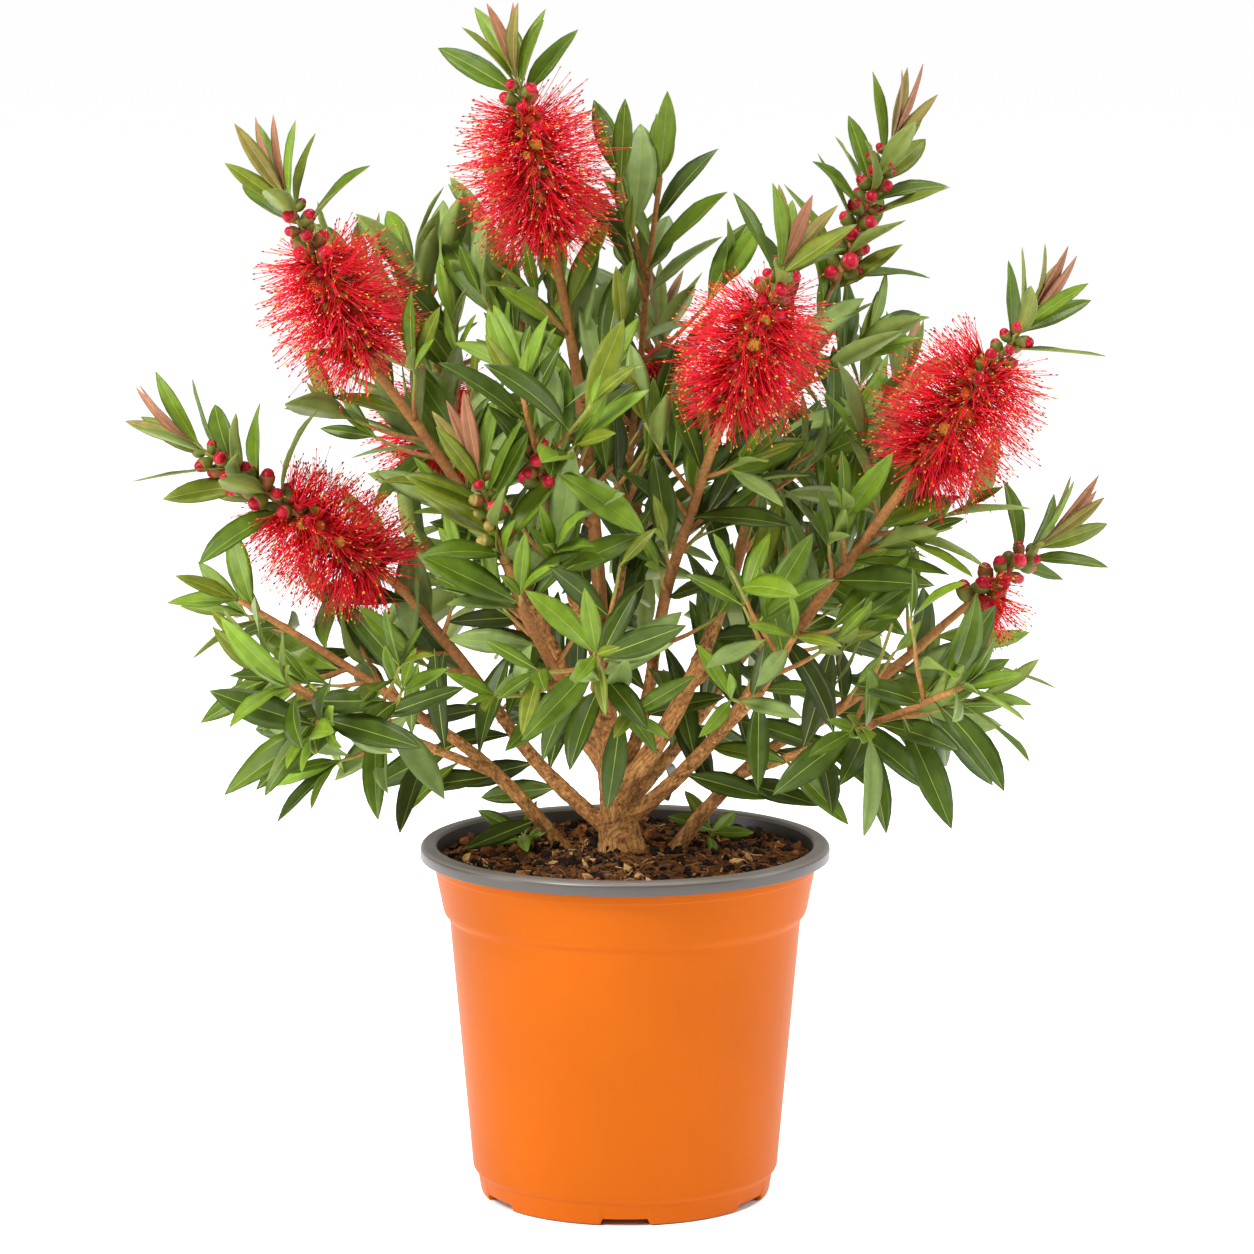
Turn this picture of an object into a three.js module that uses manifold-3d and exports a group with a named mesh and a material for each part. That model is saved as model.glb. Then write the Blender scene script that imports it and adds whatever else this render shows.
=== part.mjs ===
// Bottlebrush shrub in its nursery pot: a leaning trunk with spreading boughs, leafy shoots,
// red brush flowers and bud spikes. Millimetres, +Z up, origin under the middle of the pot.
import * as THREE from 'three';
import { mergeVertices } from 'three/addons/utils/BufferGeometryUtils.js';
import Module from 'manifold-3d';

const kernel = await Module();
kernel.setup();
const { Manifold, Mesh } = kernel;

// ---- pot ------------------------------------------------------------------------------------
const RIM_RADIUS = 110;
const RIM_TOP = 191;
const RIM_BAND = 7.4;
const RIM_SHEET = 1.5;
const LIP_WIDTH = 8.8;
const SKIRT_FOOT = 170;
const WALL = 1.5;
const WALL_TOP_RADIUS = 103.4;
const LEDGE_HEIGHT = 155;
const LEDGE_RADIUS = 97.9;
const BODY_TOP_RADIUS = 94.9;
const BODY_FOOT_RADIUS = 82.3;
const SEAM_HEIGHT = 13;
const FOOT_TOP_RADIUS = 80;
const FOOT_RADIUS = 78;
const FOOT_WIDTH = 3;
const FLOOR_RISE = 5;
const NOTCHES = 6;
const NOTCH_WIDTH = 27;
const NOTCH_HEIGHT = 3.4;
const NOTCH_BEVEL = 2;
const ROUND = 32;

// ---- soil -----------------------------------------------------------------------------------
const SOIL_LEVEL = 186;
const SOIL_EDGE = 183.6;
const SOIL_FLAT_RADIUS = 48;
const SOIL_LUMP = 1.3;
const LUMPS_ABOVE = 175;

// ---- fits -----------------------------------------------------------------------------------
const GAP = 0.3;
const CLEARANCE = 0.6;
const SPACE_SLACK = 0.16;
const SPACE_REACH = 1.2;

// ---- trunk and boughs -----------------------------------------------------------------------
const GROUND = SOIL_LEVEL + GAP;
const TRUNK_START = 176;
const TRUNK_WIDE = 11.4;
const TRUNK_THIN = 5.7;
const FLARE = 5;
const FLARE_SHARE = 0.34;
const TRUNK_SIDES = 10;
const TRUNK_STEPS = 6;
const BOUGH_SIDES = 5;
const BOUGH_STEPS = 3;

// name, parent, foot, middle, tip, foot radius, tip radius
const BOUGHS = [
  ['leader', 'trunk', [-12.4, 0, 274], [-12.7, 1, 290], [-13, 2, 306], 4.9, 4.1],
  ['right', 'trunk', [-5, 0, 214], [20, -11, 252], [39, -20, 291], 6.2, 4.4],
  ['right_high', 'right', [39, -20, 291], [48, -12, 312], [58, 4, 336], 4.0, 3.3],
  ['right_back', 'right', [32, -17, 277], [52, 8, 290], [72, 34, 308], 3.1, 2.6],
  ['centre', 'trunk', [-6, 3, 218], [8, 8, 252], [15, 2, 290], 4.4, 3.4],
  ['right_mid', 'trunk', [-3, -1, 200], [38, -10, 238], [70, -24, 282], 4.6, 3.4],
  ['right_low', 'soil', [23, 6, 180], [62, -8, 230], [100, -19, 258], 4.2, 3.1],
  ['left_low', 'soil', [-30, 12, 180], [-68, -5, 228], [-104, -15, 258], 4.3, 3.1],
  ['left_mid', 'trunk', [-3, 1, 194], [-42, 13, 226], [-72, 12, 266], 4.9, 3.4],
  ['left_high', 'trunk', [-8, 2, 232], [-31, 10, 278], [-52, 6, 324], 4.6, 3.5],
  ['front_left', 'trunk', [-10, -1, 250], [-20, -22, 266], [-31, -42, 283], 3.8, 3.0],
  ['front', 'trunk', [-11, 0, 262], [-12, -24, 272], [-13, -48, 280], 3.0, 2.5],
  ['back_left', 'trunk', [-7, 1, 226], [-36, 38, 262], [-58, 72, 298], 4.2, 3.1],
  ['back', 'trunk', [-10, 1, 244], [-8, 42, 284], [-2, 76, 318], 4.2, 3.1],
  ['back_right', 'trunk', [-4, 1, 206], [32, 44, 240], [62, 78, 276], 4.3, 3.1],
  ['upper', 'leader', [-12.6, 0.5, 282], [-5, 13, 314], [0, 25, 350], 2.8, 2.3],
  ['upper_back', 'leader', [-12.7, 1, 290], [-20, 20, 320], [-30, 38, 354], 2.8, 2.3],
  ['centre_front', 'leader', [-12.6, 0.6, 284], [-20, -26, 306], [-28, -50, 330], 2.8, 2.2],
  ['left_back', 'left_high', [-42, 8, 304], [-60, 24, 330], [-80, 46, 364], 2.8, 2.3],
  ['front_right', 'right_mid', [44, -12, 245], [58, -38, 264], [70, -64, 282], 2.7, 2.2],
  ['low_front_left', 'left_low', [-70, -5, 230], [-92, -34, 244], [-116, -62, 260], 2.9, 2.3],
  ['low_front_right', 'right_low', [64, -8, 231], [90, -37, 245], [114, -64, 261], 2.9, 2.3],
];

// ---- leafy shoots ---------------------------------------------------------------------------
const STEM_SIDES = 3;
const STEM_STEPS = 3;
const STEM_TIP_RADIUS = 1.5;
const FLOWER_STEM_RADIUS = 2.5;
const TWIG_RADIUS = 1.5;
const TWIG_TIP_RADIUS = 0.9;
const TWIG_EVERY = 29;
const TWIGS_FROM = 0.06;
const TWIGS_OVER = 0.8;
const TWIG_LENGTH = 46;
const TWIG_LEAN = 0.95;
const TWIG_RISE = 0.22;
const TURN = 2.39996;
const LEAF_EVERY = 14.3;
const LEAVES_FROM = 0.1;
const YOUTH_FROM = 0.6;
const LEAF_LENGTH = 67;
const LEAF_WIDTH_SHARE = 0.3;
const LEAF_BELLY = 0.47;
const BLADE_START = 0.2;
const LEAF_THICKNESS = 1.7;
const LEAF_DROOP = 0.1;
const LEAF_SINK = 0.6;
const LEAF_SPREAD = 1.02;
const ASIDE = 1.1;
const SHORT = 0.72;
const TIP_SPREAD = 0.5;
const TIP_SHARE = 0.72;
const CROWN_HEART = [0, 60, 240];
const FACE_HEADING = 0.5;
const FACE_OUT = 0.8;
const FACE_UP = 0.3;
const FACE_ROLL = 0.9;

// bough, middle, tip, reach, lift, opening
const SHOOTS = [
  ['leader', [-20, 8, 400], [-37, 5, 507], 60, 0.2, 0],
  ['right_high', [82, 40, 408], [112, 60, 482], 60, 0.15, 0],
  ['right_back', [106, 78, 360], [130, 118, 424], 62, 0.1, 0],
  ['centre', [29, -30, 356], [51, -62, 426], 60, 0.1, 0],
  ['right_mid', [112, -38, 341], [149, -42, 393], 60, 0, 0],
  ['right_low', [136, -22, 284], [168, -18, 311], 62, -0.2, 0],
  ['left_low', [-150, -24, 292], [-204, -26, 326], 62, -0.2, 0],
  ['left_mid', [-100, -3, 306], [-122, -21, 335], 60, -0.1, 0],
  ['left_high', [-88, -8, 385], [-131, -19, 447], 60, 0.1, 0],
  ['front_left', [-47, -72, 315], [-61, -97, 356], 58, 0.05, 0],
  ['front', [-14, -104, 303], [-14.5, -162, 319], 62, 0, 0.65],
  ['back_left', [-82, 108, 330], [-98, 134, 366], 62, 0, 0],
  ['back', [5, 112, 352], [11, 142, 386], 62, 0, 0],
  ['back_right', [98, 112, 320], [122, 134, 359], 62, 0, 0],
  ['upper', [7, 44, 440], [19, 64, 543], 60, 0.2, 0],
  ['upper_back', [-50, 74, 440], [-73, 112, 506], 60, 0.15, 0],
  ['centre_front', [-40, -86, 386], [-52, -114, 445], 58, 0.15, 0],
  ['left_back', [-100, 78, 438], [-116, 106, 494], 60, 0.15, 0],
  ['front_right', [79, -96, 303], [86, -126, 322], 58, 0, 0.6],
  ['low_front_left', [-146, -106, 280], [-170, -146, 300], 60, -0.15, 0],
  ['low_front_right', [144, -108, 281], [170, -148, 300], 60, -0.15, 0],
];

// ---- brush flowers and bud spikes -----------------------------------------------------------
const FLOWER_TWIG_RADIUS = 2.3;
const FLOWER_TWIG_TIP = 1.2;
const BRUSH_RINGS = 5;
const BRUSH_SIDES = 12;
const BRUSH_VALLEY = 0.66;
const BRUSH_SWEEP = 7;
const BRUSH_START = 6;
const BUD_RADIUS = 5.8;
const BUD_STANDOFF = 5.5;
const BUD_EVERY = 10;
const BUD_LEAN = 0.55;
const BUD_TAPER = 0.35;
const TUFT_LEAVES = 7;
const TUFT_LENGTH = 44;
const TUFT_SPREAD = 1.05;
const TUFT_TIP_SPREAD = 0.2;

// shoot, twig end, brush radius, end of the brush and of the buds as shares of the twig
const FLOWERS = [
  ['leader', [-57, -6, 600], 45, 0.78, 0.95],
  ['right_high', [144, 58, 564], 0, 0.04, 0.9],
  ['centre', [81, -74, 507], 43, 0.76, 0.96],
  ['right_mid', [210, -45, 477], 45, 0.68, 0.92],
  ['right_low', [222, -10, 355], 23, 0.46, 0.86],
  ['left_mid', [-226, -40, 411], 44, 0.46, 0.94],
  ['left_high', [-177, -29, 540], 44, 0.64, 0.9],
  ['front_left', [-75, -104, 404], 0, 0.1, 0.95],
  ['back_left', [-108, 157, 429], 43, 0.78, 0.95],
  ['back', [18, 157, 445], 43, 0.78, 0.95],
  ['back_right', [152, 157, 419], 43, 0.78, 0.95],
];
const BUD_CLUSTER = { shoot: 'centre_front', from: 0.55, to: 0.8 };

// ---- colours --------------------------------------------------------------------------------
const COLOURS = {
  pot: [0xe87a22, 0.5],
  rim: [0x5a5b60, 0.6],
  soil: [0x3b2a1f, 0.95],
  bark: [0x8b5f42, 0.85],
  leaf: [0x4a7433, 0.5],
  brush: [0xd3202f, 0.7],
};

const UP = new THREE.Vector3(0, 0, 1);
const vec = (p) => new THREE.Vector3(...p);

/** A repeatable number from 0 to 1 for the k-th choice of a seed. */
function chance(seed, k) {
  let h = (Math.imul(seed, 374761393) + Math.imul(k, 668265263)) | 0;
  h = Math.imul(h ^ (h >>> 13), 1274126177);
  return ((h ^ (h >>> 16)) >>> 0) / 4294967296;
}

/** Closed body from corner points and triangles. */
function solid(points, faces) {
  return new Manifold(new Mesh({
    numProp: 3,
    vertProperties: new Float32Array(points.flatMap((p) => [p.x, p.y, p.z])),
    triVerts: new Uint32Array(faces.flat()),
  }));
}

/** Triangles between rings of corners; the first and last ring are closed by fans. */
function ringFaces(rings, sides) {
  const faces = [];
  for (let i = 0; i < rings - 1; i++) {
    for (let j = 0; j < sides; j++) {
      const a = i * sides + j;
      const b = i * sides + (j + 1) % sides;
      faces.push([a, b, b + sides], [a, b + sides, a + sides]);
    }
  }
  const last = (rings - 1) * sides;
  for (let j = 1; j < sides - 1; j++) {
    faces.push([0, j + 1, j], [last, last + j, last + j + 1]);
  }
  return faces;
}

/** Curve through a foot, a middle and a tip. */
function bend(foot, middle, tip) {
  const control = middle.clone().multiplyScalar(2).addScaledVector(foot, -0.5).addScaledVector(tip, -0.5);
  return new THREE.QuadraticBezierCurve3(foot, control, tip);
}

/** Any direction square to the given one, the same for the same heading. */
function squareTo(heading) {
  const side = new THREE.Vector3().crossVectors(heading, UP);
  if (side.length() < 0.05) side.set(1, 0, 0).cross(heading);
  return side.normalize();
}

/** Direction square to the heading, turned by an angle round it. */
function radial(heading, angle) {
  return squareTo(heading).applyAxisAngle(heading, angle);
}

/** Tapering limb with round or three-sided section; its foot face is square to the given heading. */
function limb(path, radiusAt, sides, steps, footHeading = path.getTangent(0)) {
  const points = [];
  for (let i = 0; i <= steps; i++) {
    const t = i / steps;
    const centre = path.getPoint(t);
    const heading = i ? path.getTangent(t) : footHeading;
    for (let j = 0; j < sides; j++) {
      points.push(centre.clone().addScaledVector(radial(heading, (2 * Math.PI * j) / sides), radiusAt(t)));
    }
  }
  return solid(points, ringFaces(steps + 1, sides));
}

/** Leaf of six faces, flat below and ridged above, from a share of its length to its tip. */
function leafBody({ root, along, face, length, width }, from = 0) {
  const across = new THREE.Vector3().crossVectors(face, along);
  const belly = root.clone().addScaledVector(along, length * LEAF_BELLY);
  return solid([
    root.clone().addScaledVector(along, length * from),
    root.clone().addScaledVector(along, length).addScaledVector(face, -length * LEAF_DROOP),
    belly.clone().addScaledVector(across, width / 2),
    belly.clone().addScaledVector(across, -width / 2),
    belly.clone().addScaledVector(face, LEAF_THICKNESS),
  ], [[0, 3, 4], [3, 1, 4], [1, 2, 4], [2, 0, 4], [0, 2, 3], [1, 3, 2]]);
}

/** Round bud of eight faces. */
function budBody(centre, outward, heading, radius) {
  const across = new THREE.Vector3().crossVectors(heading, outward).normalize();
  const face = new THREE.Vector3().crossVectors(outward, across).normalize();
  const from = (axis, size) => centre.clone().addScaledVector(axis, size);
  return solid([
    from(outward, -radius * 1.5), from(outward, radius * 1.2), from(across, radius), from(across, -radius),
    from(face, radius), from(face, -radius),
  ], [[0, 3, 4], [3, 1, 4], [1, 2, 4], [2, 0, 4], [3, 0, 5], [1, 3, 5], [2, 1, 5], [0, 2, 5]]);
}

/** Fuse bodies, keep the largest one, and fill any hollow sealed inside it. */
function fuse(bodies) {
  const pieces = Manifold.union(bodies).simplify(0.05).decompose();
  return pieces.reduce((a, b) => (b.volume() > a.volume() ? b : a));
}

/** Largest piece that is left of a body after a cut. */
function cut(body, tools) {
  return fuse([Manifold.difference([body, ...tools])]);
}

// ---- the pot and its soil -------------------------------------------------------------------

/** Body turned from a profile of [radius, height] that runs anticlockwise; lift raises corners. */
function turned(profile, lift = () => 0) {
  const outline = [...profile, profile[0]].map(([radius, height]) => new THREE.Vector2(radius, height));
  const lathe = new THREE.LatheGeometry(outline, ROUND).rotateX(Math.PI / 2);
  lathe.deleteAttribute('normal');
  lathe.deleteAttribute('uv');
  const { attributes: { position }, index } = mergeVertices(lathe, 0.001);
  const points = Array.from({ length: position.count }, (_, i) => {
    const point = new THREE.Vector3().fromBufferAttribute(position, i);
    point.z += lift(point);
    return point;
  });
  const faces = Array.from({ length: index.count / 3 }, (_, i) => [0, 1, 2].map((k) => index.getX(3 * i + k)));
  return solid(points, faces.filter((face) => new Set(face).size === 3));
}

/** Radius of the orange wall's outer face at a height above the foot seam. */
function wallRadius(height) {
  if (height >= LEDGE_HEIGHT) {
    const share = (height - LEDGE_HEIGHT) / (RIM_TOP - RIM_BAND - LEDGE_HEIGHT);
    return LEDGE_RADIUS + share * (WALL_TOP_RADIUS - LEDGE_RADIUS);
  }
  const share = (height - SEAM_HEIGHT) / (LEDGE_HEIGHT - SEAM_HEIGHT);
  return BODY_FOOT_RADIUS + share * (BODY_TOP_RADIUS - BODY_FOOT_RADIUS);
}

/** Bar across the foot ring whose upper corners are bevelled. */
function notchTool(index) {
  const half = NOTCH_WIDTH / 2;
  const outline = [
    [-half, -1], [half, -1], [half, NOTCH_HEIGHT - NOTCH_BEVEL], [half - NOTCH_BEVEL, NOTCH_HEIGHT],
    [NOTCH_BEVEL - half, NOTCH_HEIGHT], [-half, NOTCH_HEIGHT - NOTCH_BEVEL],
  ];
  const near = FOOT_RADIUS - 4 * FOOT_WIDTH;
  const far = FOOT_TOP_RADIUS + FOOT_WIDTH;
  const points = [near, far].flatMap((depth) => outline.map(([x, z]) => new THREE.Vector3(x, -depth, z)));
  const turn = (2 * Math.PI * index) / NOTCHES;
  points.forEach((p) => p.applyAxisAngle(UP, turn));
  return solid(points, ringFaces(2, outline.length));
}

function potBody() {
  const top = RIM_TOP - RIM_SHEET - 2 * GAP;
  const floorTop = FLOOR_RISE + 2 * WALL;
  const innerFoot = FOOT_RADIUS - FOOT_WIDTH;
  const shell = turned([
    [0, FLOOR_RISE], [innerFoot, FLOOR_RISE], [innerFoot, 0], [FOOT_RADIUS, 0],
    [FOOT_TOP_RADIUS, SEAM_HEIGHT - 1.5], [BODY_FOOT_RADIUS - 0.6, SEAM_HEIGHT],
    [wallRadius(SEAM_HEIGHT + 1.5), SEAM_HEIGHT + 1.5],
    [wallRadius(LEDGE_HEIGHT - 4), LEDGE_HEIGHT - 4], [LEDGE_RADIUS - 0.9, LEDGE_HEIGHT - 1.6],
    [LEDGE_RADIUS, LEDGE_HEIGHT + 0.6], [wallRadius(top), top], [wallRadius(top) - WALL, top],
    [LEDGE_RADIUS - WALL, LEDGE_HEIGHT + 1.5], [wallRadius(LEDGE_HEIGHT - 4) - WALL, LEDGE_HEIGHT - 3],
    [wallRadius(floorTop) - 2 * WALL, floorTop], [0, floorTop],
  ]);
  const notches = Array.from({ length: NOTCHES }, (_, index) => notchTool(index));
  return cut(shell, notches);
}

/** Rolled lip with the dark lining that shows above the soil. */
function rimBody() {
  const inner = RIM_RADIUS - LIP_WIDTH;
  const lining = (height) => wallRadius(height) - WALL - GAP;
  const under = RIM_TOP - RIM_SHEET;
  return turned([
    [lining(SKIRT_FOOT) - RIM_SHEET + 0.4, SKIRT_FOOT], [lining(SKIRT_FOOT), SKIRT_FOOT],
    [lining(under), under], [RIM_RADIUS - RIM_SHEET, under], [RIM_RADIUS - RIM_SHEET, RIM_TOP - RIM_BAND],
    [RIM_RADIUS, RIM_TOP - RIM_BAND], [RIM_RADIUS, RIM_TOP - 1.8], [RIM_RADIUS - 1.7, RIM_TOP],
    [inner + 1.2, RIM_TOP], [inner, RIM_TOP - 1.1],
  ]);
}

function soilBody() {
  const wall = (height) => wallRadius(height) - 2 * WALL - GAP;
  const skirt = (height) => wallRadius(height) - WALL - RIM_SHEET - 2 * GAP;
  const floor = FLOOR_RISE + 2 * WALL + GAP;
  const lump = ({ x, y, z }) => {
    const radius = Math.round(Math.hypot(x, y));
    if (radius <= SOIL_FLAT_RADIUS || z < LUMPS_ABOVE) return 0;
    const place = Math.round((Math.atan2(y, x) * ROUND) / (2 * Math.PI) + ROUND) % ROUND;
    return SOIL_LUMP * (chance(radius, place) - 0.7);
  };
  return turned([
    [0, floor], [wall(floor) - WALL, floor], [wallRadius(LEDGE_HEIGHT - 4) - WALL - 1, LEDGE_HEIGHT - 5],
    [LEDGE_RADIUS - WALL - 1, LEDGE_HEIGHT + 3], [wall(SKIRT_FOOT - 3) - GAP, SKIRT_FOOT - 3],
    [skirt(SOIL_EDGE) - 1, SOIL_EDGE], [76, (SOIL_LEVEL + SOIL_EDGE) / 2 + 0.5],
    [SOIL_FLAT_RADIUS, SOIL_LEVEL], [0, SOIL_LEVEL],
  ], lump);
}

// ---- trunk and boughs -----------------------------------------------------------------------

function trunkLimb() {
  const path = bend(vec([-0.8, 0, TRUNK_START]), vec([-6.2, 0, 226]), vec([-12.4, 0, 273.7]));
  const flare = (t) => FLARE * Math.max(0, 1 - t / FLARE_SHARE) ** 2;
  const radiusAt = (t) => TRUNK_WIDE + (TRUNK_THIN - TRUNK_WIDE) * t + flare(t);
  return { name: 'trunk', parent: null, path, radiusAt, sides: TRUNK_SIDES, steps: TRUNK_STEPS };
}

function boughLimb([name, parent, foot, middle, tip, wide, thin]) {
  const path = bend(vec(foot), vec(middle), vec(tip));
  const radiusAt = (t) => wide + (thin - wide) * t;
  return { name, parent, path, radiusAt, sides: BOUGH_SIDES, steps: BOUGH_STEPS };
}

/** Limb cut 0.3 mm clear of every limb before it, and flat at the ground. */
function boughBody(item, earlier) {
  const swollen = earlier.map((other) => (
    limb(other.path, (t) => other.radiusAt(t) + GAP * 1.15, other.sides, other.steps)));
  const body = limb(item.path, item.radiusAt, item.sides, item.steps);
  return cut(body, swollen).trimByPlane([0, 0, 1], GROUND);
}

// ---- leaves and twigs -----------------------------------------------------------------------

function shootOf([name, middle, tip, reach, lift, opening], index) {
  const bough = limbs.find((item) => item.name === name);
  const footHeading = bough.path.getTangent(1);
  const foot = bough.path.getPoint(1).addScaledVector(footHeading, GAP);
  const path = bend(foot, vec(middle), vec(tip));
  const seed = 1000 * (index + 1);
  const wide = bough.radiusAt(1);
  const thin = FLOWERS.some(([shoot]) => shoot === name) ? FLOWER_STEM_RADIUS : STEM_TIP_RADIUS;
  return { name, path, footHeading, reach, lift, opening, wide, thin, seed };
}

function flowerOf([name, end, radius, brushTo, budsTo], index) {
  const shoot = shoots.find((item) => item.name === name);
  const footHeading = shoot.path.getTangent(1);
  const foot = shoot.path.getPoint(1).addScaledVector(footHeading, GAP);
  const tip = vec(end);
  const path = bend(foot, foot.clone().lerp(tip, 0.5).addScaledVector(footHeading, 2), tip);
  const label = `${radius ? 'brush' : 'buds'}_${name}`;
  return { name, label, path, footHeading, radius, brushTo, budsTo, seed: 50000 + 1000 * index };
}

/** Points along a curve, about one for each few millimetres. */
function beads(path, every) {
  return path.getSpacedPoints(Math.max(2, Math.ceil(path.getLength() / every)));
}

function nearest(point, list) {
  return Math.sqrt(list.reduce((least, bead) => Math.min(least, bead.distanceToSquared(point)), Infinity));
}

/** True where a point lies in the shoot's own share of the crown. */
function inSpace(point, name) {
  const own = spaces.get(name);
  const mine = nearest(point, own.line) / own.reach;
  if (mine > SPACE_REACH) return false;
  for (const [other, space] of spaces) {
    if (other !== name && nearest(point, space.line) / space.reach < mine - SPACE_SLACK) return false;
  }
  return true;
}

function boxesMeet(a, b) {
  const meet = (low, high, axis) => low.min[axis] < high.max[axis] + CLEARANCE;
  return [0, 1, 2].every((axis) => meet(a, b, axis) && meet(b, a, axis));
}

/** True where a body stands clear of everything that is not of its own piece. */
function isClear(body, name) {
  const box = body.boundingBox();
  return obstacles.every((other) => (
    other.name === name || !boxesMeet(box, other.box) || body.minGap(other.body, CLEARANCE) >= CLEARANCE));
}

/** Bodies of the leaves that fit, each in the first of its stances clear of the rest. */
function fittedLeaves(leaves, space, own, wood) {
  const blades = [...wood];
  const fits = (leaf) => {
    const blade = leafBody(leaf, BLADE_START);
    const tip = leaf.root.clone().addScaledVector(leaf.along, leaf.length);
    if (!inSpace(tip, space) || !isClear(leafBody(leaf), own)) return false;
    if (blades.some((other) => other.minGap(blade, CLEARANCE) < CLEARANCE)) return false;
    blades.push(blade);
    return true;
  };
  return leaves.map((stances) => stances.find(fits)).filter(Boolean).map((leaf) => leafBody(leaf));
}

/** Side twigs: one for each length of stem, turned by the golden angle and rising at the end. */
function sideTwigs(shoot) {
  const count = Math.round(shoot.path.getLength() / TWIG_EVERY);
  const twigs = [];
  for (let k = 0; k < count; k++) {
    const t = TWIGS_FROM + (TWIGS_OVER * k) / count;
    const heading = shoot.path.getTangent(t);
    const out = radial(heading, k * TURN + 6 * chance(shoot.seed, 7));
    const way = heading.clone().multiplyScalar(Math.cos(TWIG_LEAN)).addScaledVector(out, Math.sin(TWIG_LEAN));
    const length = TWIG_LENGTH * (0.75 + 0.5 * chance(shoot.seed, 11 + k));
    const foot = shoot.path.getPoint(t);
    const tip = foot.clone().addScaledVector(way, length).addScaledVector(UP, length * TWIG_RISE);
    const path = new THREE.LineCurve3(foot, tip);
    const body = limb(path, (u) => TWIG_RADIUS + (TWIG_TIP_RADIUS - TWIG_RADIUS) * u, STEM_SIDES, 1);
    if (inSpace(tip, shoot.name) && isClear(body, shoot.name)) twigs.push({ path, body });
  }
  return twigs;
}

/** Leaf on a twig at a share of its length, its upper face turned to the tip and out of the crown. */
function leafAt(path, t, turn, spread, length, lift) {
  const heading = path.getTangent(t);
  const out = radial(heading, turn);
  const along = heading.clone().multiplyScalar(Math.cos(spread)).addScaledVector(out, Math.sin(spread));
  along.addScaledVector(UP, lift).normalize();
  const root = path.getPoint(t).addScaledVector(along, -LEAF_SINK);
  const open = root.clone().sub(vec(CROWN_HEART)).normalize();
  const face = heading.clone().multiplyScalar(FACE_HEADING).addScaledVector(open, FACE_OUT);
  face.addScaledVector(UP, FACE_UP).addScaledVector(along, -face.dot(along));
  face.addScaledVector(along, -face.dot(along)).normalize();
  face.applyAxisAngle(along, FACE_ROLL * (chance(Math.round(100 * length), Math.round(10 * turn)) - 0.5));
  return { root, along, face, length, width: length * LEAF_WIDTH_SHARE };
}

/** Stances of every leaf along a twig. */
function leavesOn(path, shoot, seed) {
  const count = Math.max(3, Math.round(path.getLength() / LEAF_EVERY));
  return Array.from({ length: count + 1 }, (_, k) => {
    const t = LEAVES_FROM + ((1 - LEAVES_FROM) * k) / count;
    const youth = Math.max(0, t - YOUTH_FROM) / (1 - YOUTH_FROM);
    const spread = LEAF_SPREAD + (TIP_SPREAD + shoot.opening - LEAF_SPREAD) * youth;
    const size = LEAF_LENGTH * (0.86 + 0.28 * chance(seed, k)) * (1 - (1 - TIP_SHARE) * youth ** 2);
    const turn = k * TURN + 6 * chance(seed, 99) + 0.5 * chance(seed, 40 + k);
    return [[turn, size], [turn + ASIDE, size], [turn, size * SHORT]].map(([angle, length]) => (
      leafAt(path, t, angle, spread, length, shoot.lift)));
  });
}

function budsOn(path, from, to, seed) {
  const length = path.getLength() * (to - from);
  const count = Math.floor(length / BUD_EVERY);
  const buds = [];
  for (let k = 0; k < count; k++) {
    const t = from + ((to - from) * (k + 0.5)) / count;
    const heading = path.getTangent(t);
    const out = radial(heading, k * TURN + seed);
    const radius = BUD_RADIUS * (1.1 - (BUD_TAPER * k) / count);
    const way = out.clone().addScaledVector(heading, BUD_LEAN).normalize();
    buds.push(budBody(path.getPoint(t).addScaledVector(way, BUD_STANDOFF), way, heading, radius));
  }
  return buds;
}

function stemBody({ path, wide, thin, footHeading }) {
  return limb(path, (t) => wide + (thin - wide) * t, STEM_SIDES, STEM_STEPS, footHeading);
}

function leafyBody(shoot) {
  const twigs = [{ path: shoot.path, body: stemBody(shoot) }, ...sideTwigs(shoot)];
  const leaves = twigs.flatMap(({ path }, n) => leavesOn(path, shoot, shoot.seed + 31 * n));
  const wood = twigs.map(({ body }) => body);
  const fitted = fittedLeaves(leaves, shoot.name, shoot.name, wood);
  const buds = shoot.name === BUD_CLUSTER.shoot
    ? budsOn(shoot.path, BUD_CLUSTER.from, BUD_CLUSTER.to, shoot.seed) : [];
  return fuse([...wood, ...fitted, ...buds]);
}

// ---- flowers --------------------------------------------------------------------------------

/** Triangles of a burr: each standing corner is a peak among four valleys. */
function burrFaces() {
  const faces = ringFaces(BRUSH_RINGS, BRUSH_SIDES);
  const sides = (BRUSH_RINGS - 1) * BRUSH_SIDES;
  for (let q = 0; q < sides; q++) {
    const [a, b, c] = faces[2 * q];
    const d = faces[2 * q + 1][2];
    const row = Math.floor(a / BRUSH_SIDES);
    if ((row + a) % 2 === 0) {
      faces[2 * q] = [a, b, d];
      faces[2 * q + 1] = [b, c, d];
    }
  }
  return faces;
}

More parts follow.
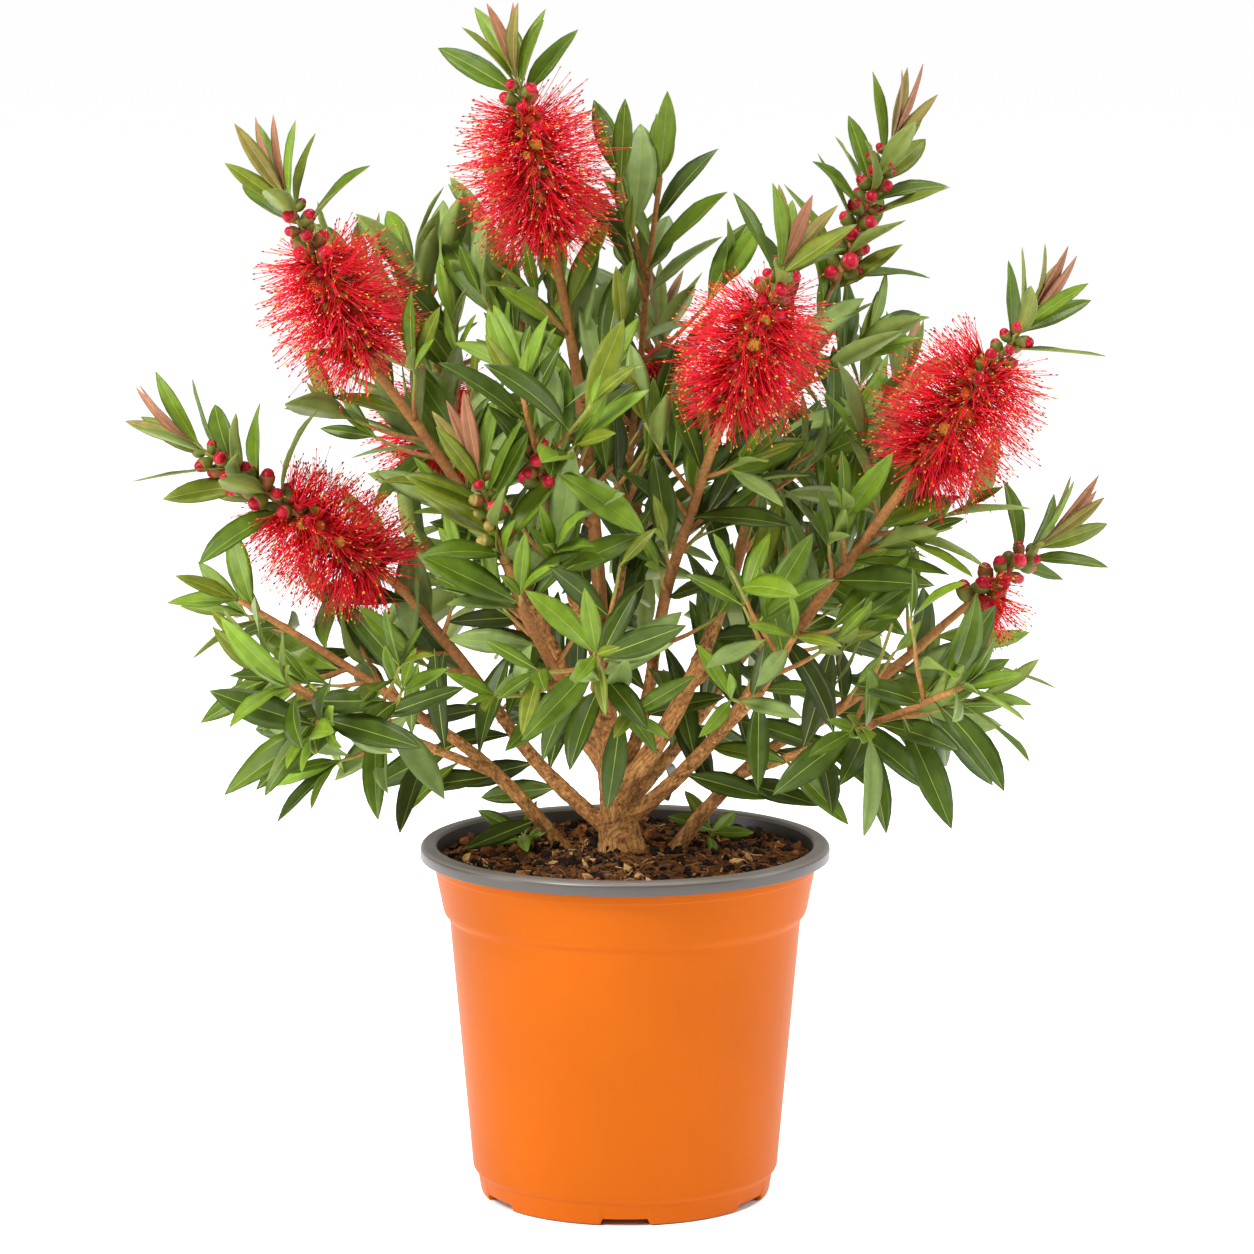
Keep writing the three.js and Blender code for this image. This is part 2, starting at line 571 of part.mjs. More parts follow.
/** Burr-like body for the stamens: corners stand in and out by turns and lean to the tip. */
function brushBody({ path, radius, brushTo, seed }) {
  const points = [];
  const start = BRUSH_START / path.getLength();
  for (let i = 0; i < BRUSH_RINGS; i++) {
    const share = i / (BRUSH_RINGS - 1);
    const t = start + (brushTo - start) * share;
    const heading = path.getTangent(t);
    const swell = 0.3 + 0.7 * Math.sin(Math.PI * (0.1 + 0.78 * share)) ** 0.7;
    for (let j = 0; j < BRUSH_SIDES; j++) {
      const peak = (i + j) % 2 === 0;
      const reach = radius * swell * (peak ? 1.04 - 0.14 * chance(seed, 13 * i + j) : BRUSH_VALLEY);
      const out = radial(heading, (2 * Math.PI * j) / BRUSH_SIDES);
      const corner = path.getPoint(t).addScaledVector(out, reach);
      points.push(peak ? corner.addScaledVector(heading, BRUSH_SWEEP) : corner);
    }
  }
  return solid(points, burrFaces());
}

/** Young leaves round the end of the twig, the last ones nearly in line with it. */
function tuftOn(flower) {
  return Array.from({ length: TUFT_LEAVES }, (_, k) => {
    const share = k / (TUFT_LEAVES - 1);
    const t = 1 - (1 - (flower.brushTo + flower.budsTo) / 2) * (1 - share) ** 1.5;
    const size = TUFT_LENGTH * (1.25 - 0.45 * share + 0.12 * chance(flower.seed, k));
    const spread = TUFT_SPREAD + (TUFT_TIP_SPREAD - TUFT_SPREAD) * share;
    return [leafAt(flower.path, t, k * TURN + flower.seed, spread, size, 0.05)];
  });
}

function flowerBody(flower) {
  const radiusAt = (t) => FLOWER_TWIG_RADIUS + (FLOWER_TWIG_TIP - FLOWER_TWIG_RADIUS) * t;
  const bodies = [limb(flower.path, radiusAt, STEM_SIDES, STEM_STEPS, flower.footHeading)];
  if (flower.radius) bodies.push(brushBody(flower));
  bodies.push(...budsOn(flower.path, flower.brushTo, flower.budsTo, flower.seed));
  return fuse([...bodies, ...fittedLeaves(tuftOn(flower), flower.name, flower.label, bodies)]);
}

// ---- the plant ------------------------------------------------------------------------------

const limbs = [trunkLimb(), ...BOUGHS.map(boughLimb)];
const shoots = SHOOTS.map(shootOf);
const flowers = FLOWERS.map(flowerOf);

const spaces = new Map(shoots.map(({ name, path, reach }) => {
  const flower = flowers.find((item) => item.name === name);
  return [name, { reach, line: [...beads(path, 8), ...(flower ? beads(flower.path, 8) : [])] }];
}));
const group = new THREE.Group();
group.name = 'bottlebrush_plant';

function add(name, body, [colour, roughness]) {
  const mesh = body.getMesh();
  const geometry = new THREE.BufferGeometry();
  geometry.setAttribute('position', new THREE.Float32BufferAttribute(mesh.vertProperties, 3));
  geometry.setIndex(new THREE.Uint32BufferAttribute(mesh.triVerts, 1));
  geometry.computeVertexNormals();
  const material = new THREE.MeshStandardMaterial({ color: colour, roughness, metalness: 0 });
  const piece = new THREE.Mesh(geometry, material);
  piece.name = name;
  group.add(piece);
}

const obstacles = [];

/** Keep a finished body in the group and in the way of the ones that follow. */
function place(name, body, colour) {
  add(name, body, colour);
  obstacles.push({ name, body, box: body.boundingBox() });
}

place('pot', potBody(), COLOURS.pot);
place('pot_rim', rimBody(), COLOURS.rim);
place('soil', soilBody(), COLOURS.soil);
limbs.forEach((item, index) => {
  const name = index ? `bough_${item.name}` : item.name;
  place(name, boughBody(item, limbs.slice(0, index)), COLOURS.bark);
});
for (const shoot of shoots) {
  const body = stemBody(shoot);
  obstacles.push({ name: shoot.name, body, box: body.boundingBox() });
}
flowers.forEach((flower) => place(flower.label, flowerBody(flower), COLOURS.brush));
shoots.forEach((shoot) => place(`leaves_${shoot.name}`, leafyBody(shoot), COLOURS.leaf));

export default group;
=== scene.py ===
"""Bottlebrush shrub in its nursery pot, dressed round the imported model. Sizes are in millimetres."""
import math
from collections import namedtuple
from itertools import combinations

import bpy
import numpy as np
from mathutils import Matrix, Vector, noise


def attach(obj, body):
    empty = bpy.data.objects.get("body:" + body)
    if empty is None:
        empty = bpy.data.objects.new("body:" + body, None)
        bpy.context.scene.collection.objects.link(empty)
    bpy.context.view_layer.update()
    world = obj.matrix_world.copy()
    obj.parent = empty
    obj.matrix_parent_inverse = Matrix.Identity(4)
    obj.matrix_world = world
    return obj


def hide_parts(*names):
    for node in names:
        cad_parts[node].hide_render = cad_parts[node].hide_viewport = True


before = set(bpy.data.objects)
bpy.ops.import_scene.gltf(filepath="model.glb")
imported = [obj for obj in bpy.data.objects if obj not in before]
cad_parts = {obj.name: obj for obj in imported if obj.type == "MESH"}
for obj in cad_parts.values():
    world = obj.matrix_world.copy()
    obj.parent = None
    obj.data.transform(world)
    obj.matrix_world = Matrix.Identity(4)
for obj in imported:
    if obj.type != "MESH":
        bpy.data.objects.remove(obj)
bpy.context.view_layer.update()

MM = 0.001
TAU = 2 * math.pi
UP = np.array([0.0, 0.0, 1.0])
EAST = np.array([1.0, 0.0, 0.0])
CIRCLE = np.linspace(0, TAU, 144, endpoint=False)
# from each leaf, bud or floret to the next one round its stem
GOLDEN_TURN = 2.39996

# ---- view and light, in metres: the camera looks a little down ----
CAMERA_PLACE = (0.001, -2.638, 0.718)
CAMERA_DOWN = math.radians(8.84)
CAMERA_LENS = 143.54
LIGHT_AIM = (0, 0, 0.35)
WORLD_LIGHT = 0.36
# name, place, size, power
LIGHTS = [
    ["key", (-1.5, -1.9, 2.5), 0.9, 91],
    ["left", (-2.3, -0.7, 0.8), 1.0, 29],
    ["fill", (2.4, -0.3, 1.2), 1.6, 38],
    ["top", (0.3, 0.5, 2.8), 1.4, 46],
]

# ---- floor: it glows up to the pot's foot and is plain below it ----
FLOOR_LEVEL = -0.5
FLOOR_RADIUS = 30000
FLOOR_GLOW = 0.645
FLOOR_WHITE = 0.95
SHADE_RADIUS = 77.5

# ---- pot ----
RIM_RADIUS = 110
RIM_TOP = 191
RIM_BAND = 7.4
RIM_SHEET = 1.5
LIP_WIDTH = 8.8
SKIRT_FOOT = 170
WALL = 1.5
WALL_TOP_RADIUS = 103.4
LEDGE_HEIGHT = 155
LEDGE_RADIUS = 97.9
LEDGE_SLOPE = 4
LEDGE_UNDERCUT = (0.9, 1.6)
BODY_TOP_RADIUS = 94.9
BODY_FOOT_RADIUS = 82.3
SEAM_HEIGHT = 13
STEP = 1.5
SOFT_STEP = 0.6
FOOT_TOP_RADIUS = 80
FOOT_RADIUS = 78
FOOT_WIDTH = 3
FLOOR_RISE = 5
BEAD_HEIGHT = 177.6
BEAD_RISE = 0.7
NOTCHES = 6
NOTCH_WIDTH = 27
NOTCH_HEIGHT = 3.4
NOTCH_SLOPE = 0.02
NOTCH_EDGE = 0.002
GAP = 0.3
INNERMOST = 0.5
# radius of the eased edges, and the most of a side that they take up
EASE = 1.2
LIP_EASE = 1.0
EASE_SHARE = 0.4
POT_CREASE = 50
# depth below the rim's top of the faces that take the painted highlight
LIP_HIGHLIGHT = 1.7
OUTER_BEVEL = (1.7, 1.8)
INNER_BEVEL = (1.2, 1.1)
SKIRT_TAPER = 0.4
# colour as 0-255 values, roughness, cloudiness, specular level
PLASTICS = {
    "pot_orange": [(181, 87, 8), 0.42, 0.05, 0.07],
    "pot_grey": [(78, 72, 69), 0.34, 0.08, 0.5],
    # lighter copy of the lip's grey, given to its top faces as a painted highlight
    "pot_crown": [(124, 116, 110), 0.34, 0.08, 0.5],
    # darker copy of the lip's grey, given to its inner faces as painted shade
    "pot_lining": [(64, 57, 53), 0.4, 0.08, 0.4],
}

# ---- soil ----
SOIL_LEVEL = 186
SOIL_EDGE = 183.6
SOIL_RINGS = 60
SOIL_DEPTH = 14
SOIL_MOUND = 2.4
MOUND_PLACE = -2
MOUND_WIDTH = 24
SOIL_SINK = 0.3
DOME_POWER = 0.7
# scale, height and level of the noise
SOIL_LUMPS = [(0.06, 1.6, 0), (0.16, 1.4, 40)]
SOIL_STOPS = [(0.25, (28, 17, 10)), (0.5, (86, 54, 28)), (0.75, (152, 100, 54))]
# count, size, spread of the sizes, shape, shares of dark, brown, red and tan
CRUMB_SORTS = [
    [3200, 0.8, 0.75, [1, 0.8, 0.65], [0.6, 0.3, 0.08, 0.02]],
    [260, 1.7, 0.55, [1.5, 0.7, 0.32], [0.4, 0.3, 0.16, 0.14]],
]
CRUMB_LOOKS = ["crumb_dark", "crumb_brown", "crumb_red", "crumb_tan"]
CRUMB_LIMIT = 4.2
CRUMB_JITTER = 0.28
CRUMB_LIFT = 0.15
CRUMB_MARGIN = 4
CRUMB_CREASE = 30
FIBRE_MARGIN = 8
FIBRES = 1000
FIBRE_HALF = (1.5, 6)
FIBRE_BOW = 0.3
FIBRE_SHARES = (-1, -0.4, 0.4, 1)
FIBRE_LIFT = 0.7
FIBRE_RADIUS = (0.2, 0.5)
FIBRE_LOOKS = {"crumb_brown": 0.58, "crumb_red": 0.32, "crumb_tan": 0.1}

# ---- trunk and boughs ----
TRUNK = ([-0.8, 0, 176], [-6.2, 0, 226], [-12.4, 0, 273.7])
TRUNK_WIDE = 11.4
TRUNK_THIN = 5.7
FLARE = 5
FLARE_SHARE = 0.34
FLARE_LOBE = 0.16
COLLAR = 0.3
COLLAR_LENGTH = 9
GNARL = 0.12
# scale of the unevenness along the limb and round it
GNARL_GRAIN = (0.05, 0.7)
BARK_SIDES = 14
BARK_STEP = 5
BARK_VOXEL = 0.9
# scale across and along the limb, and depth in millimetres
CRACKS = (0.42, 0.085, 0.75)
FLAKES = (0.16, 0.06, 0.75)
FULL_DEPTH_RADIUS = 11
LEAST_DEPTH = 0.25
CRACK_POWER = 5
LIMB_SHIFT = 137
# level of the relief, and how far flakes and cracks change it
RELIEF = (0.2, 0.12, -0.3)
BARK_STOPS = [
    (0.34, (108, 69, 35)), (0.52, (176, 118, 60)), (0.7, (212, 152, 84)), (0.88, (238, 198, 138)),
]

# name, foot, middle, tip, foot radius, tip radius
BOUGHS = [
    ["leader", [-12.4, 0, 274], [-12.7, 1, 290], [-13, 2, 306], 4.9, 4.1],
    ["right", [-5, 0, 214], [20, -11, 252], [39, -20, 291], 6.2, 4.4],
    ["right_high", [39, -20, 291], [48, -12, 312], [58, 4, 336], 4.0, 3.3],
    ["right_back", [32, -17, 277], [52, 8, 290], [72, 34, 308], 3.1, 2.6],
    ["centre", [-6, 3, 218], [8, 8, 252], [15, 2, 290], 4.4, 3.4],
    ["right_mid", [-3, -1, 200], [38, -10, 238], [70, -24, 282], 4.6, 3.4],
    ["right_low", [23, 6, 180], [62, -8, 230], [100, -19, 258], 4.2, 3.1],
    ["left_low", [-30, 12, 180], [-68, -5, 228], [-104, -15, 258], 4.3, 3.1],
    ["left_mid", [-3, 1, 194], [-42, 13, 226], [-72, 12, 266], 4.9, 3.4],
    ["left_high", [-8, 2, 232], [-31, 10, 278], [-52, 6, 324], 4.6, 3.5],
    ["front_left", [-10, -1, 250], [-20, -22, 266], [-31, -42, 283], 3.8, 3.0],
    ["front", [-11, 0, 262], [-12, -24, 272], [-13, -48, 280], 3.0, 2.5],
    ["back_left", [-7, 1, 226], [-36, 38, 262], [-58, 72, 298], 4.2, 3.1],
    ["back", [-10, 1, 244], [-8, 42, 284], [-2, 76, 318], 4.2, 3.1],
    ["back_right", [-4, 1, 206], [32, 44, 240], [62, 78, 276], 4.3, 3.1],
    ["upper", [-12.6, 0.5, 282], [-5, 13, 314], [0, 25, 350], 2.8, 2.3],
    ["upper_back", [-12.7, 1, 290], [-20, 20, 320], [-30, 38, 354], 2.8, 2.3],
    ["centre_front", [-12.6, 0.6, 284], [-20, -26, 306], [-28, -50, 330], 2.8, 2.2],
    ["left_back", [-42, 8, 304], [-60, 24, 330], [-80, 46, 364], 2.8, 2.3],
    ["front_right", [44, -12, 245], [58, -38, 264], [70, -64, 282], 2.7, 2.2],
    ["low_front_left", [-70, -5, 230], [-92, -34, 244], [-116, -62, 260], 2.9, 2.3],
    ["low_front_right", [64, -8, 231], [90, -37, 245], [114, -64, 261], 2.9, 2.3],
]

# ---- leafy shoots ----
STEM_TIP_RADIUS = 1.5
STEM_SWAY = 0.8
TWIG_SWAY = 0.5
FLOWER_STEM_RADIUS = 2.5
FLOWER_TWIG_RADIUS = 2.3
FLOWER_TWIG_TIP = 1.2
TWIG_RADIUS = 1.5
TWIG_TIP_RADIUS = 0.8
TWIG_EVERY = 29
TWIGS_FROM = 0.06
TWIGS_OVER = 0.8
TWIG_LENGTH = 46
TWIG_LEAN = 0.95
TWIG_RISE = 0.22
FINE_TWIG_LENGTH = 30
FINE_TWIG_STEP = 0.4
FINE_TWIG_TURN = TAU * 0.38
# ranges, as shares of the usual length
TWIG_LENGTHS = (0.75, 1.25)
FINE_TWIG_LENGTHS = (0.7, 1.3)

STEM_LEAF_EVERY = 9.5
LEAF_EVERY = 8.4
LEAVES_FROM = 0.1
YOUNG_FROM = 0.6
LEAF_LENGTH = 62
LEAF_WIDTH_SHARE = 0.262
LEAF_SINK = 0.4
LEAF_SPREAD = 1.02
YOUNG_SHARE = 0.6
TIP_SPREAD = 0.5
TIP_SHARE = 0.72
TIP_LEAVES = 3
TIP_LEAF = 38
TIP_LEAF_STEP = 8
TIP_LEAF_CLOSER = 0.14
TIP_LEAF_WIDTH_SHARE = 0.24
TIP_OPENING = 0.4
OPEN_SHARE = 0.85
# how leaves vary: radians of spread, and shares of their length and width
LEAF_SPREADS = (-0.2, 0.2)
LEAF_LENGTHS = (0.78, 1.12)
LEAF_WIDTHS = (0.88, 1.12)
# where leaves look away from, the core where their colour is painted darker as shade, and what their faces
# turn to
CROWN_HEART = np.array([0.0, 75.0, 240.0])
SHADED_CORE = np.array([0.0, 45.0, 350.0])
SHADED_CORE_RADIUS = 95
FACE_HEADING = 0.3
FACE_OUT = 0.8
FACE_UP = 0.3
FACE_ROLL = 0.9
FACE_ASIDE = 0.6
FACE_RISE = 0.2
FACE_DEPTH = 95
FACE_TURN = 25
# room that shoots and leaves leave to one another, to wood, to brushes and to the pot
SPACE_SLACK = 0.16
SPACE_LIMIT = 1.2
CLEARANCE = 0.8
ROOT_ROOM = 9
POT_ROOM = 3
# a leaf hides a stem if it is this close to the line of sight, and this far before the stem
STEM_WINDOW = 6.0
IN_FRONT = (3, 90)
SIGHT_FALL = 0.155
SHOWN_FROM = 0.3

# bough, middle, tip, reach, lift, opening of its tips, share of the usual leaves
SHOOTS = [
    ["leader", [-20, 8, 400], [-37, 5, 507], 60, 0.2, 0, 0.9],
    ["right_high", [82, 40, 408], [112, 60, 482], 60, 0.15, 0, 0.8],
    ["right_back", [106, 78, 360], [130, 118, 424], 62, 0.1, 0, 1.25],
    ["centre", [29, -30, 356], [51, -62, 426], 60, 0.1, 0, 1.3],
    ["right_mid", [112, -38, 341], [149, -42, 393], 60, 0, 0, 1.2],
    ["right_low", [136, -22, 284], [168, -18, 311], 62, -0.2, 0, 1],
    ["left_low", [-150, -24, 292], [-204, -26, 326], 62, -0.2, 0, 1.05],
    ["left_mid", [-100, -3, 306], [-122, -21, 335], 60, -0.1, 0, 1.2],
    ["left_high", [-88, -8, 385], [-131, -19, 447], 60, 0.1, 0, 0.9],
    ["front_left", [-47, -72, 315], [-61, -97, 356], 58, 0.05, 0, 0.85],
    ["front", [-14, -104, 303], [-14.5, -162, 319], 62, 0, 0.65, 0.62],
    ["back_left", [-82, 108, 330], [-98, 134, 366], 62, 0, 0, 1.35],
    ["back", [5, 112, 352], [11, 142, 386], 62, 0, 0, 1.4],
    ["back_right", [98, 112, 320], [122, 134, 359], 62, 0, 0, 1.35],
    ["upper", [7, 44, 440], [19, 64, 543], 60, 0.2, 0, 0.7],
    ["upper_back", [-50, 74, 440], [-73, 112, 506], 60, 0.15, 0, 1.05],
    ["centre_front", [-40, -86, 386], [-52, -114, 445], 58, 0.15, 0, 0.95],
    ["left_back", [-100, 78, 438], [-116, 106, 494], 60, 0.15, 0, 1.05],
    ["front_right", [79, -96, 303], [86, -126, 322], 58, 0, 0.6, 0.66],
    ["low_front_left", [-146, -106, 280], [-170, -146, 300], 60, -0.15, 0, 0.85],
    ["low_front_right", [144, -108, 281], [170, -148, 300], 60, -0.15, 0, 0.85],
]

# bough, share of its length where leaves begin, distance between them
BOUGH_LEAVES = [
    ["left_low", 0.14, 15], ["right_low", 0.14, 15], ["left_mid", 0.35, 10], ["right_mid", 0.35, 11],
    ["low_front_left", 0.3, 15], ["low_front_right", 0.3, 15], ["back_left", 0.3, 8], ["back", 0.3, 7],
    ["back_right", 0.3, 8], ["right_back", 0.2, 8], ["left_back", 0.15, 9], ["upper_back", 0.15, 8],
    ["upper", 0.3, 11], ["centre", 0.5, 12], ["left_high", 0.3, 9], ["right_high", 0.2, 12],
    ["front_left", 0.45, 9], ["leader", 0.1, 7],
]

# how leaves on a bough vary: their turn, spread, length and width
BOUGH_LEAF_RANGES = [(-0.45, 0.45), (0.85, 1.15), (0.7, 1.0), (0.9, 1.1)]

# foot of the small sprouts that stand on the soil, by the shoot they belong to
SPROUTS = {"left_low": [-50, 14], "right_low": [42, 20]}
SPROUT_HEIGHT = 11
SPROUT_TIP_RADIUS = 0.6
SPROUT_LEAVES = 5
SPROUT_LEAF = 27

# ---- form of a leaf: rows along it, columns across it ----
LEAF_ROWS = np.array([0.0, 0.06, 0.12, 0.21, 0.32, 0.44, 0.57, 0.7, 0.82, 0.92, 1.0])
BELLY_COLUMN = 0.52
LEAF_COLUMNS = np.array([-1.0, -BELLY_COLUMN, -1e-3, 1e-3, BELLY_COLUMN, 1.0])
LEAF_BELLY = 0.48
LEAF_TAPERS = (1.05, 0.93)
LEAF_THICKNESS = 0.5
# least curl and how much more, in radians like the fold and the twist
LEAF_CURL = (0.1, 0.6)
LEAF_FOLD = (0.12, 0.4)
LEAF_TWIST = (-0.35, 0.35)
LEAF_WAVE = 0.07
WAVE_PITCH = 11
WAVE_SHIFT = 40
LEAF_SWELL = 0.09
LEAF_EDGE = 0.12
PETIOLE = 0.06
PETIOLE_HALF = 0.6
RIB_HALF = 0.27
RIB_DEPTH = 0.08
RIB_FOOT = 1.15
RIB_TAPER = 0.75
RIB_SHARE = 0.6

# ---- brush flowers and bud spikes ----
# shoot, twig end, brush radius, end of the brush and of the buds as shares of the twig
FLOWERS = [
    ["leader", [-57, -6, 600], 45, 0.78, 0.95],
    ["right_high", [144, 58, 564], 0, 0.04, 0.9],
    ["centre", [81, -74, 507], 43, 0.76, 0.96],
    ["right_mid", [210, -45, 477], 45, 0.68, 0.92],
    ["right_low", [222, -10, 355], 23, 0.46, 0.86],
    ["left_mid", [-226, -40, 411], 40, 0.54, 0.94],
    ["left_high", [-177, -29, 540], 44, 0.64, 0.9],
    ["front_left", [-75, -104, 404], 0, 0.1, 0.95],
    ["back_left", [-108, 157, 429], 43, 0.78, 0.95],
    ["back", [18, 157, 445], 43, 0.78, 0.95],
    ["back_right", [152, 157, 419], 43, 0.78, 0.95],
]
# stems that show between the leaves
OPEN_STEMS = ["leader", "centre", "right_mid", "left_high", "left_mid", "right_low", "left_low", "upper"]
# start and end of the buds on a leafy shoot
BUD_CLUSTERS = {"centre_front": (0.55, 0.8)}
BRUSH_START = 9
FLORET_EVERY = 1.6
STAMENS = 40
STAMEN_RADIUS = 0.27
CUP_LENGTH = 7.2
CUP_MOUTH = 2.9
CUP_STANDOFF = 2.2
BRUSH_FULL = 0.95
BRUSH_ENDS = 0.68
# the part of a brush that leaves keep out of, along it and across it
BRUSH_SPAN = (0.1, 0.95)
BRUSH_CORE = 0.45
# height and radius as shares of the size
CUP = [[0, 0.2], [0.25, 0.44], [0.7, 0.53], [1.0, 0.55], [1.0, 0.44], [0.8, 0.3], [0.78, 0.1]]
BUD = [
    [-1.7, 0.2], [-1.3, 0.28], [-1.0, 0.62], [-0.45, 0.88], [0.15, 0.95], [0.42, 0.9], [0.4, 0.78],
    [0.75, 0.76], [1.08, 0.52], [1.26, 0.14],
]
ANTHER = [[-0.9, 0.7], [1.0, 0.45]]
ANTHER_SIZE = 0.7
PETALS = 5
PETAL_RISE = 0.55
PETAL_FOOT = (2.7, -0.9)
# points of a petal in millimetres ahead, aside and along the cup
PETAL = [[0, 0, 0], [1.8, 1.5, 0], [3.2, 0, 0], [1.8, -1.5, 0], [1.5, 0, 0.8]]
PETAL_FACES = [[1, 4, 0], [2, 4, 1], [3, 4, 2], [0, 4, 3], [2, 1, 0], [3, 2, 0]]
CUP_SIZES = (0.75, 1.1)
LEAN_JITTER = 0.08
FLORET_JITTER = 0.15
CONE_JITTER = 0.06
STAMEN_BOW = 0.13
STAMEN_SAG = 0.05
STAMEN_FLARE = -0.1
STAMEN_LINE = [0, 0.45, 1.0]
STAMEN_TAPER = [1.0, 0.9, 0.62]
CUP_LOOKS = {"cup_green": 0.5, "cup_orange": 0.2, "petal_red": 0.3}
INSIDE_LOOKS = {"cup_inside": 0.16, "cup_green": 0.26, "cup_orange": 0.3, "petal_red": 0.28}
PETAL_LOOKS = {"petal_red": 0.7, "cup_orange": 0.3}
INNER_LOOKS = {"stamen_red": 0.4, "stamen_deep": 0.35, "stamen_orange": 0.25}
OUTER_LOOKS = {"stamen_red": 0.5, "stamen_pink": 0.3, "stamen_deep": 0.2}
ANTHER_LOOKS = {"anther_yellow": 0.42, "anther_dark": 0.22, "stamen_deep": 0.36}
# first or least value, and how much more
CUP_LEAN = (-0.42, 0.62)
STAMEN_CONE = (0.2, 0.38)
STAMEN_LENGTHS = (0.82, 0.24)
BUD_SIZES = (0.82, 0.34)
# the side that has opened on a brush that is only partly open
FLORET_SIDES = {"right_low": (0.45, -0.35, -0.82)}
OPEN_FROM = 0.25
OPEN_BUDS_FROM = 0.16
BUD_RADIUS = 4.6
BUD_EVERY = 2.8
GREEN_BUDS = {"front_left": 0.5}
BUD_STEM = 1.0
BUD_RISE = 0.55
BUD_TAPER = 0.34
BUD_REACH = 1.5
BUD_FIRST = 1.08
BUD_RED_SHARE = 0.7
BUD_GREEN_SHARE = 0.65
YOUNG_SHRINK = 0.4
SPIKE_LEAVES = {"right_high": (0.06, 9), "front_left": (0.06, 8), "left_mid": (0.52, 7)}
SPIKE_LEAF = 58
SPIKE_END = 0.76
SPIKE_TONES = ["mid", "bright", "olive"]
BUD_OVERLAP = 20
TUFT_LEAVES = 10
TUFT_LENGTH = 50
TUFT_SPREAD = 1.0
TUFT_TIP_SPREAD = 0.1

# ---- finishes: colour as 0-255 values, roughness, mottling, size of its grain, depth of bump ----
FINISHES = {
    # leaf_shade is the darkest green, used only as painted shade inside the crown
    "leaf_shade": [(50, 64, 8), 0.4, 0.2, 140, 0.15],
    "leaf_deep": [(62, 81, 14), 0.38, 0.2, 140, 0.15],
    "leaf_mid": [(82, 105, 20), 0.36, 0.2, 140, 0.15],
    "leaf_bright": [(104, 130, 28), 0.38, 0.18, 140, 0.15],
    "leaf_olive": [(106, 116, 26), 0.38, 0.2, 140, 0.15],
    # leaf_grey is partly a leaf tone and partly a painted sheen: a paler greyish green in place of the gloss
    "leaf_grey": [(122, 142, 76), 0.44, 0.16, 140, 0.15],
    "leaf_fresh": [(114, 144, 38), 0.4, 0.16, 140, 0.15],
    "leaf_bronze": [(126, 116, 52), 0.45, 0.18, 140, 0.1],
    "leaf_blush": [(150, 98, 70), 0.48, 0.18, 140, 0.1],
    "under_green": [(126, 142, 68), 0.55, 0.1, 140, 0.1],
    "under_blush": [(160, 122, 92), 0.55, 0.1, 140, 0.1],
    "rib_green": [(142, 158, 66), 0.5, 0.1, 140, 0.1],
    "rib_warm": [(176, 140, 84), 0.5, 0.1, 140, 0.1],
    "twig_brown": [(156, 104, 58), 0.75, 0.3, 500, 0.5],
    "twig_tan": [(172, 120, 66), 0.7, 0.25, 500, 0.4],
    "twig_green": [(142, 136, 62), 0.6, 0.2, 500, 0.2],
    "twig_red": [(158, 84, 62), 0.6, 0.2, 500, 0.2],
    "stamen_red": [(236, 14, 36), 0.45, 0.1, 300, 0.0],
    "stamen_deep": [(204, 4, 34), 0.45, 0.1, 300, 0.0],
    "stamen_pink": [(240, 34, 66), 0.45, 0.1, 300, 0.0],
    "stamen_orange": [(232, 52, 22), 0.45, 0.1, 300, 0.0],
    "anther_yellow": [(214, 166, 62), 0.6, 0.1, 300, 0.0],
    "anther_dark": [(120, 62, 40), 0.6, 0.1, 300, 0.0],
    "cup_green": [(136, 128, 44), 0.5, 0.15, 300, 0.1],
    "cup_orange": [(206, 98, 32), 0.5, 0.15, 300, 0.1],
    "cup_inside": [(220, 186, 64), 0.5, 0.15, 300, 0.1],
    "petal_red": [(178, 24, 36), 0.45, 0.15, 300, 0.1],
    "bud_red": [(166, 10, 34), 0.32, 0.15, 300, 0.1],
    "bud_pink": [(190, 30, 52), 0.32, 0.15, 300, 0.1],
    "bud_pale": [(150, 132, 62), 0.42, 0.15, 300, 0.1],
    "bud_green": [(104, 108, 38), 0.45, 0.15, 300, 0.1],
    "bud_brown": [(132, 82, 38), 0.45, 0.15, 300, 0.1],
    "crumb_dark": [(32, 20, 11), 0.95, 0.4, 700, 0.8],
    "crumb_brown": [(110, 68, 33), 0.95, 0.4, 700, 0.8],
    "crumb_red": [(160, 100, 50), 0.95, 0.4, 700, 0.8],
    "crumb_tan": [(212, 166, 108), 0.95, 0.3, 700, 0.6],
}
LOOKS = list(FINISHES)
PLANT_SHINE = 0.27

# top, underside and rib of each leaf tone
GREENS = ["shade", "deep", "mid", "bright", "olive", "grey", "fresh"]
TONES = {tone: (f"leaf_{tone}", "under_green", "rib_green") for tone in GREENS}
TONES["bronze"] = ("leaf_bronze", "under_green", "rib_warm")
TONES["blush"] = ("leaf_blush", "under_blush", "rib_warm")
# darker greens for leaves inside the crown and along the boughs, as painted shade
SHADED_INNER_TONES = ["shade", "shade", "deep", "deep", "mid"]
# older leaves' tones; the grey ones partly paint a glossy sheen into the colour
OLD_TONES = ["deep", "deep", "deep", "mid", "mid", "bright", "grey", "grey"]
YOUNG_TONES = ["bright", "fresh", "bright", "mid", "olive"]
TUFT_TONES = ["mid", "olive", "bright", "bronze", "blush"]


# ---- numbers and directions ----

def look(name):
    return LOOKS.index(name)


def pick(rng, shares, size):
    """Look numbers drawn by their shares."""
    return rng.choice([look(name) for name in shares], size=size, p=list(shares.values()))


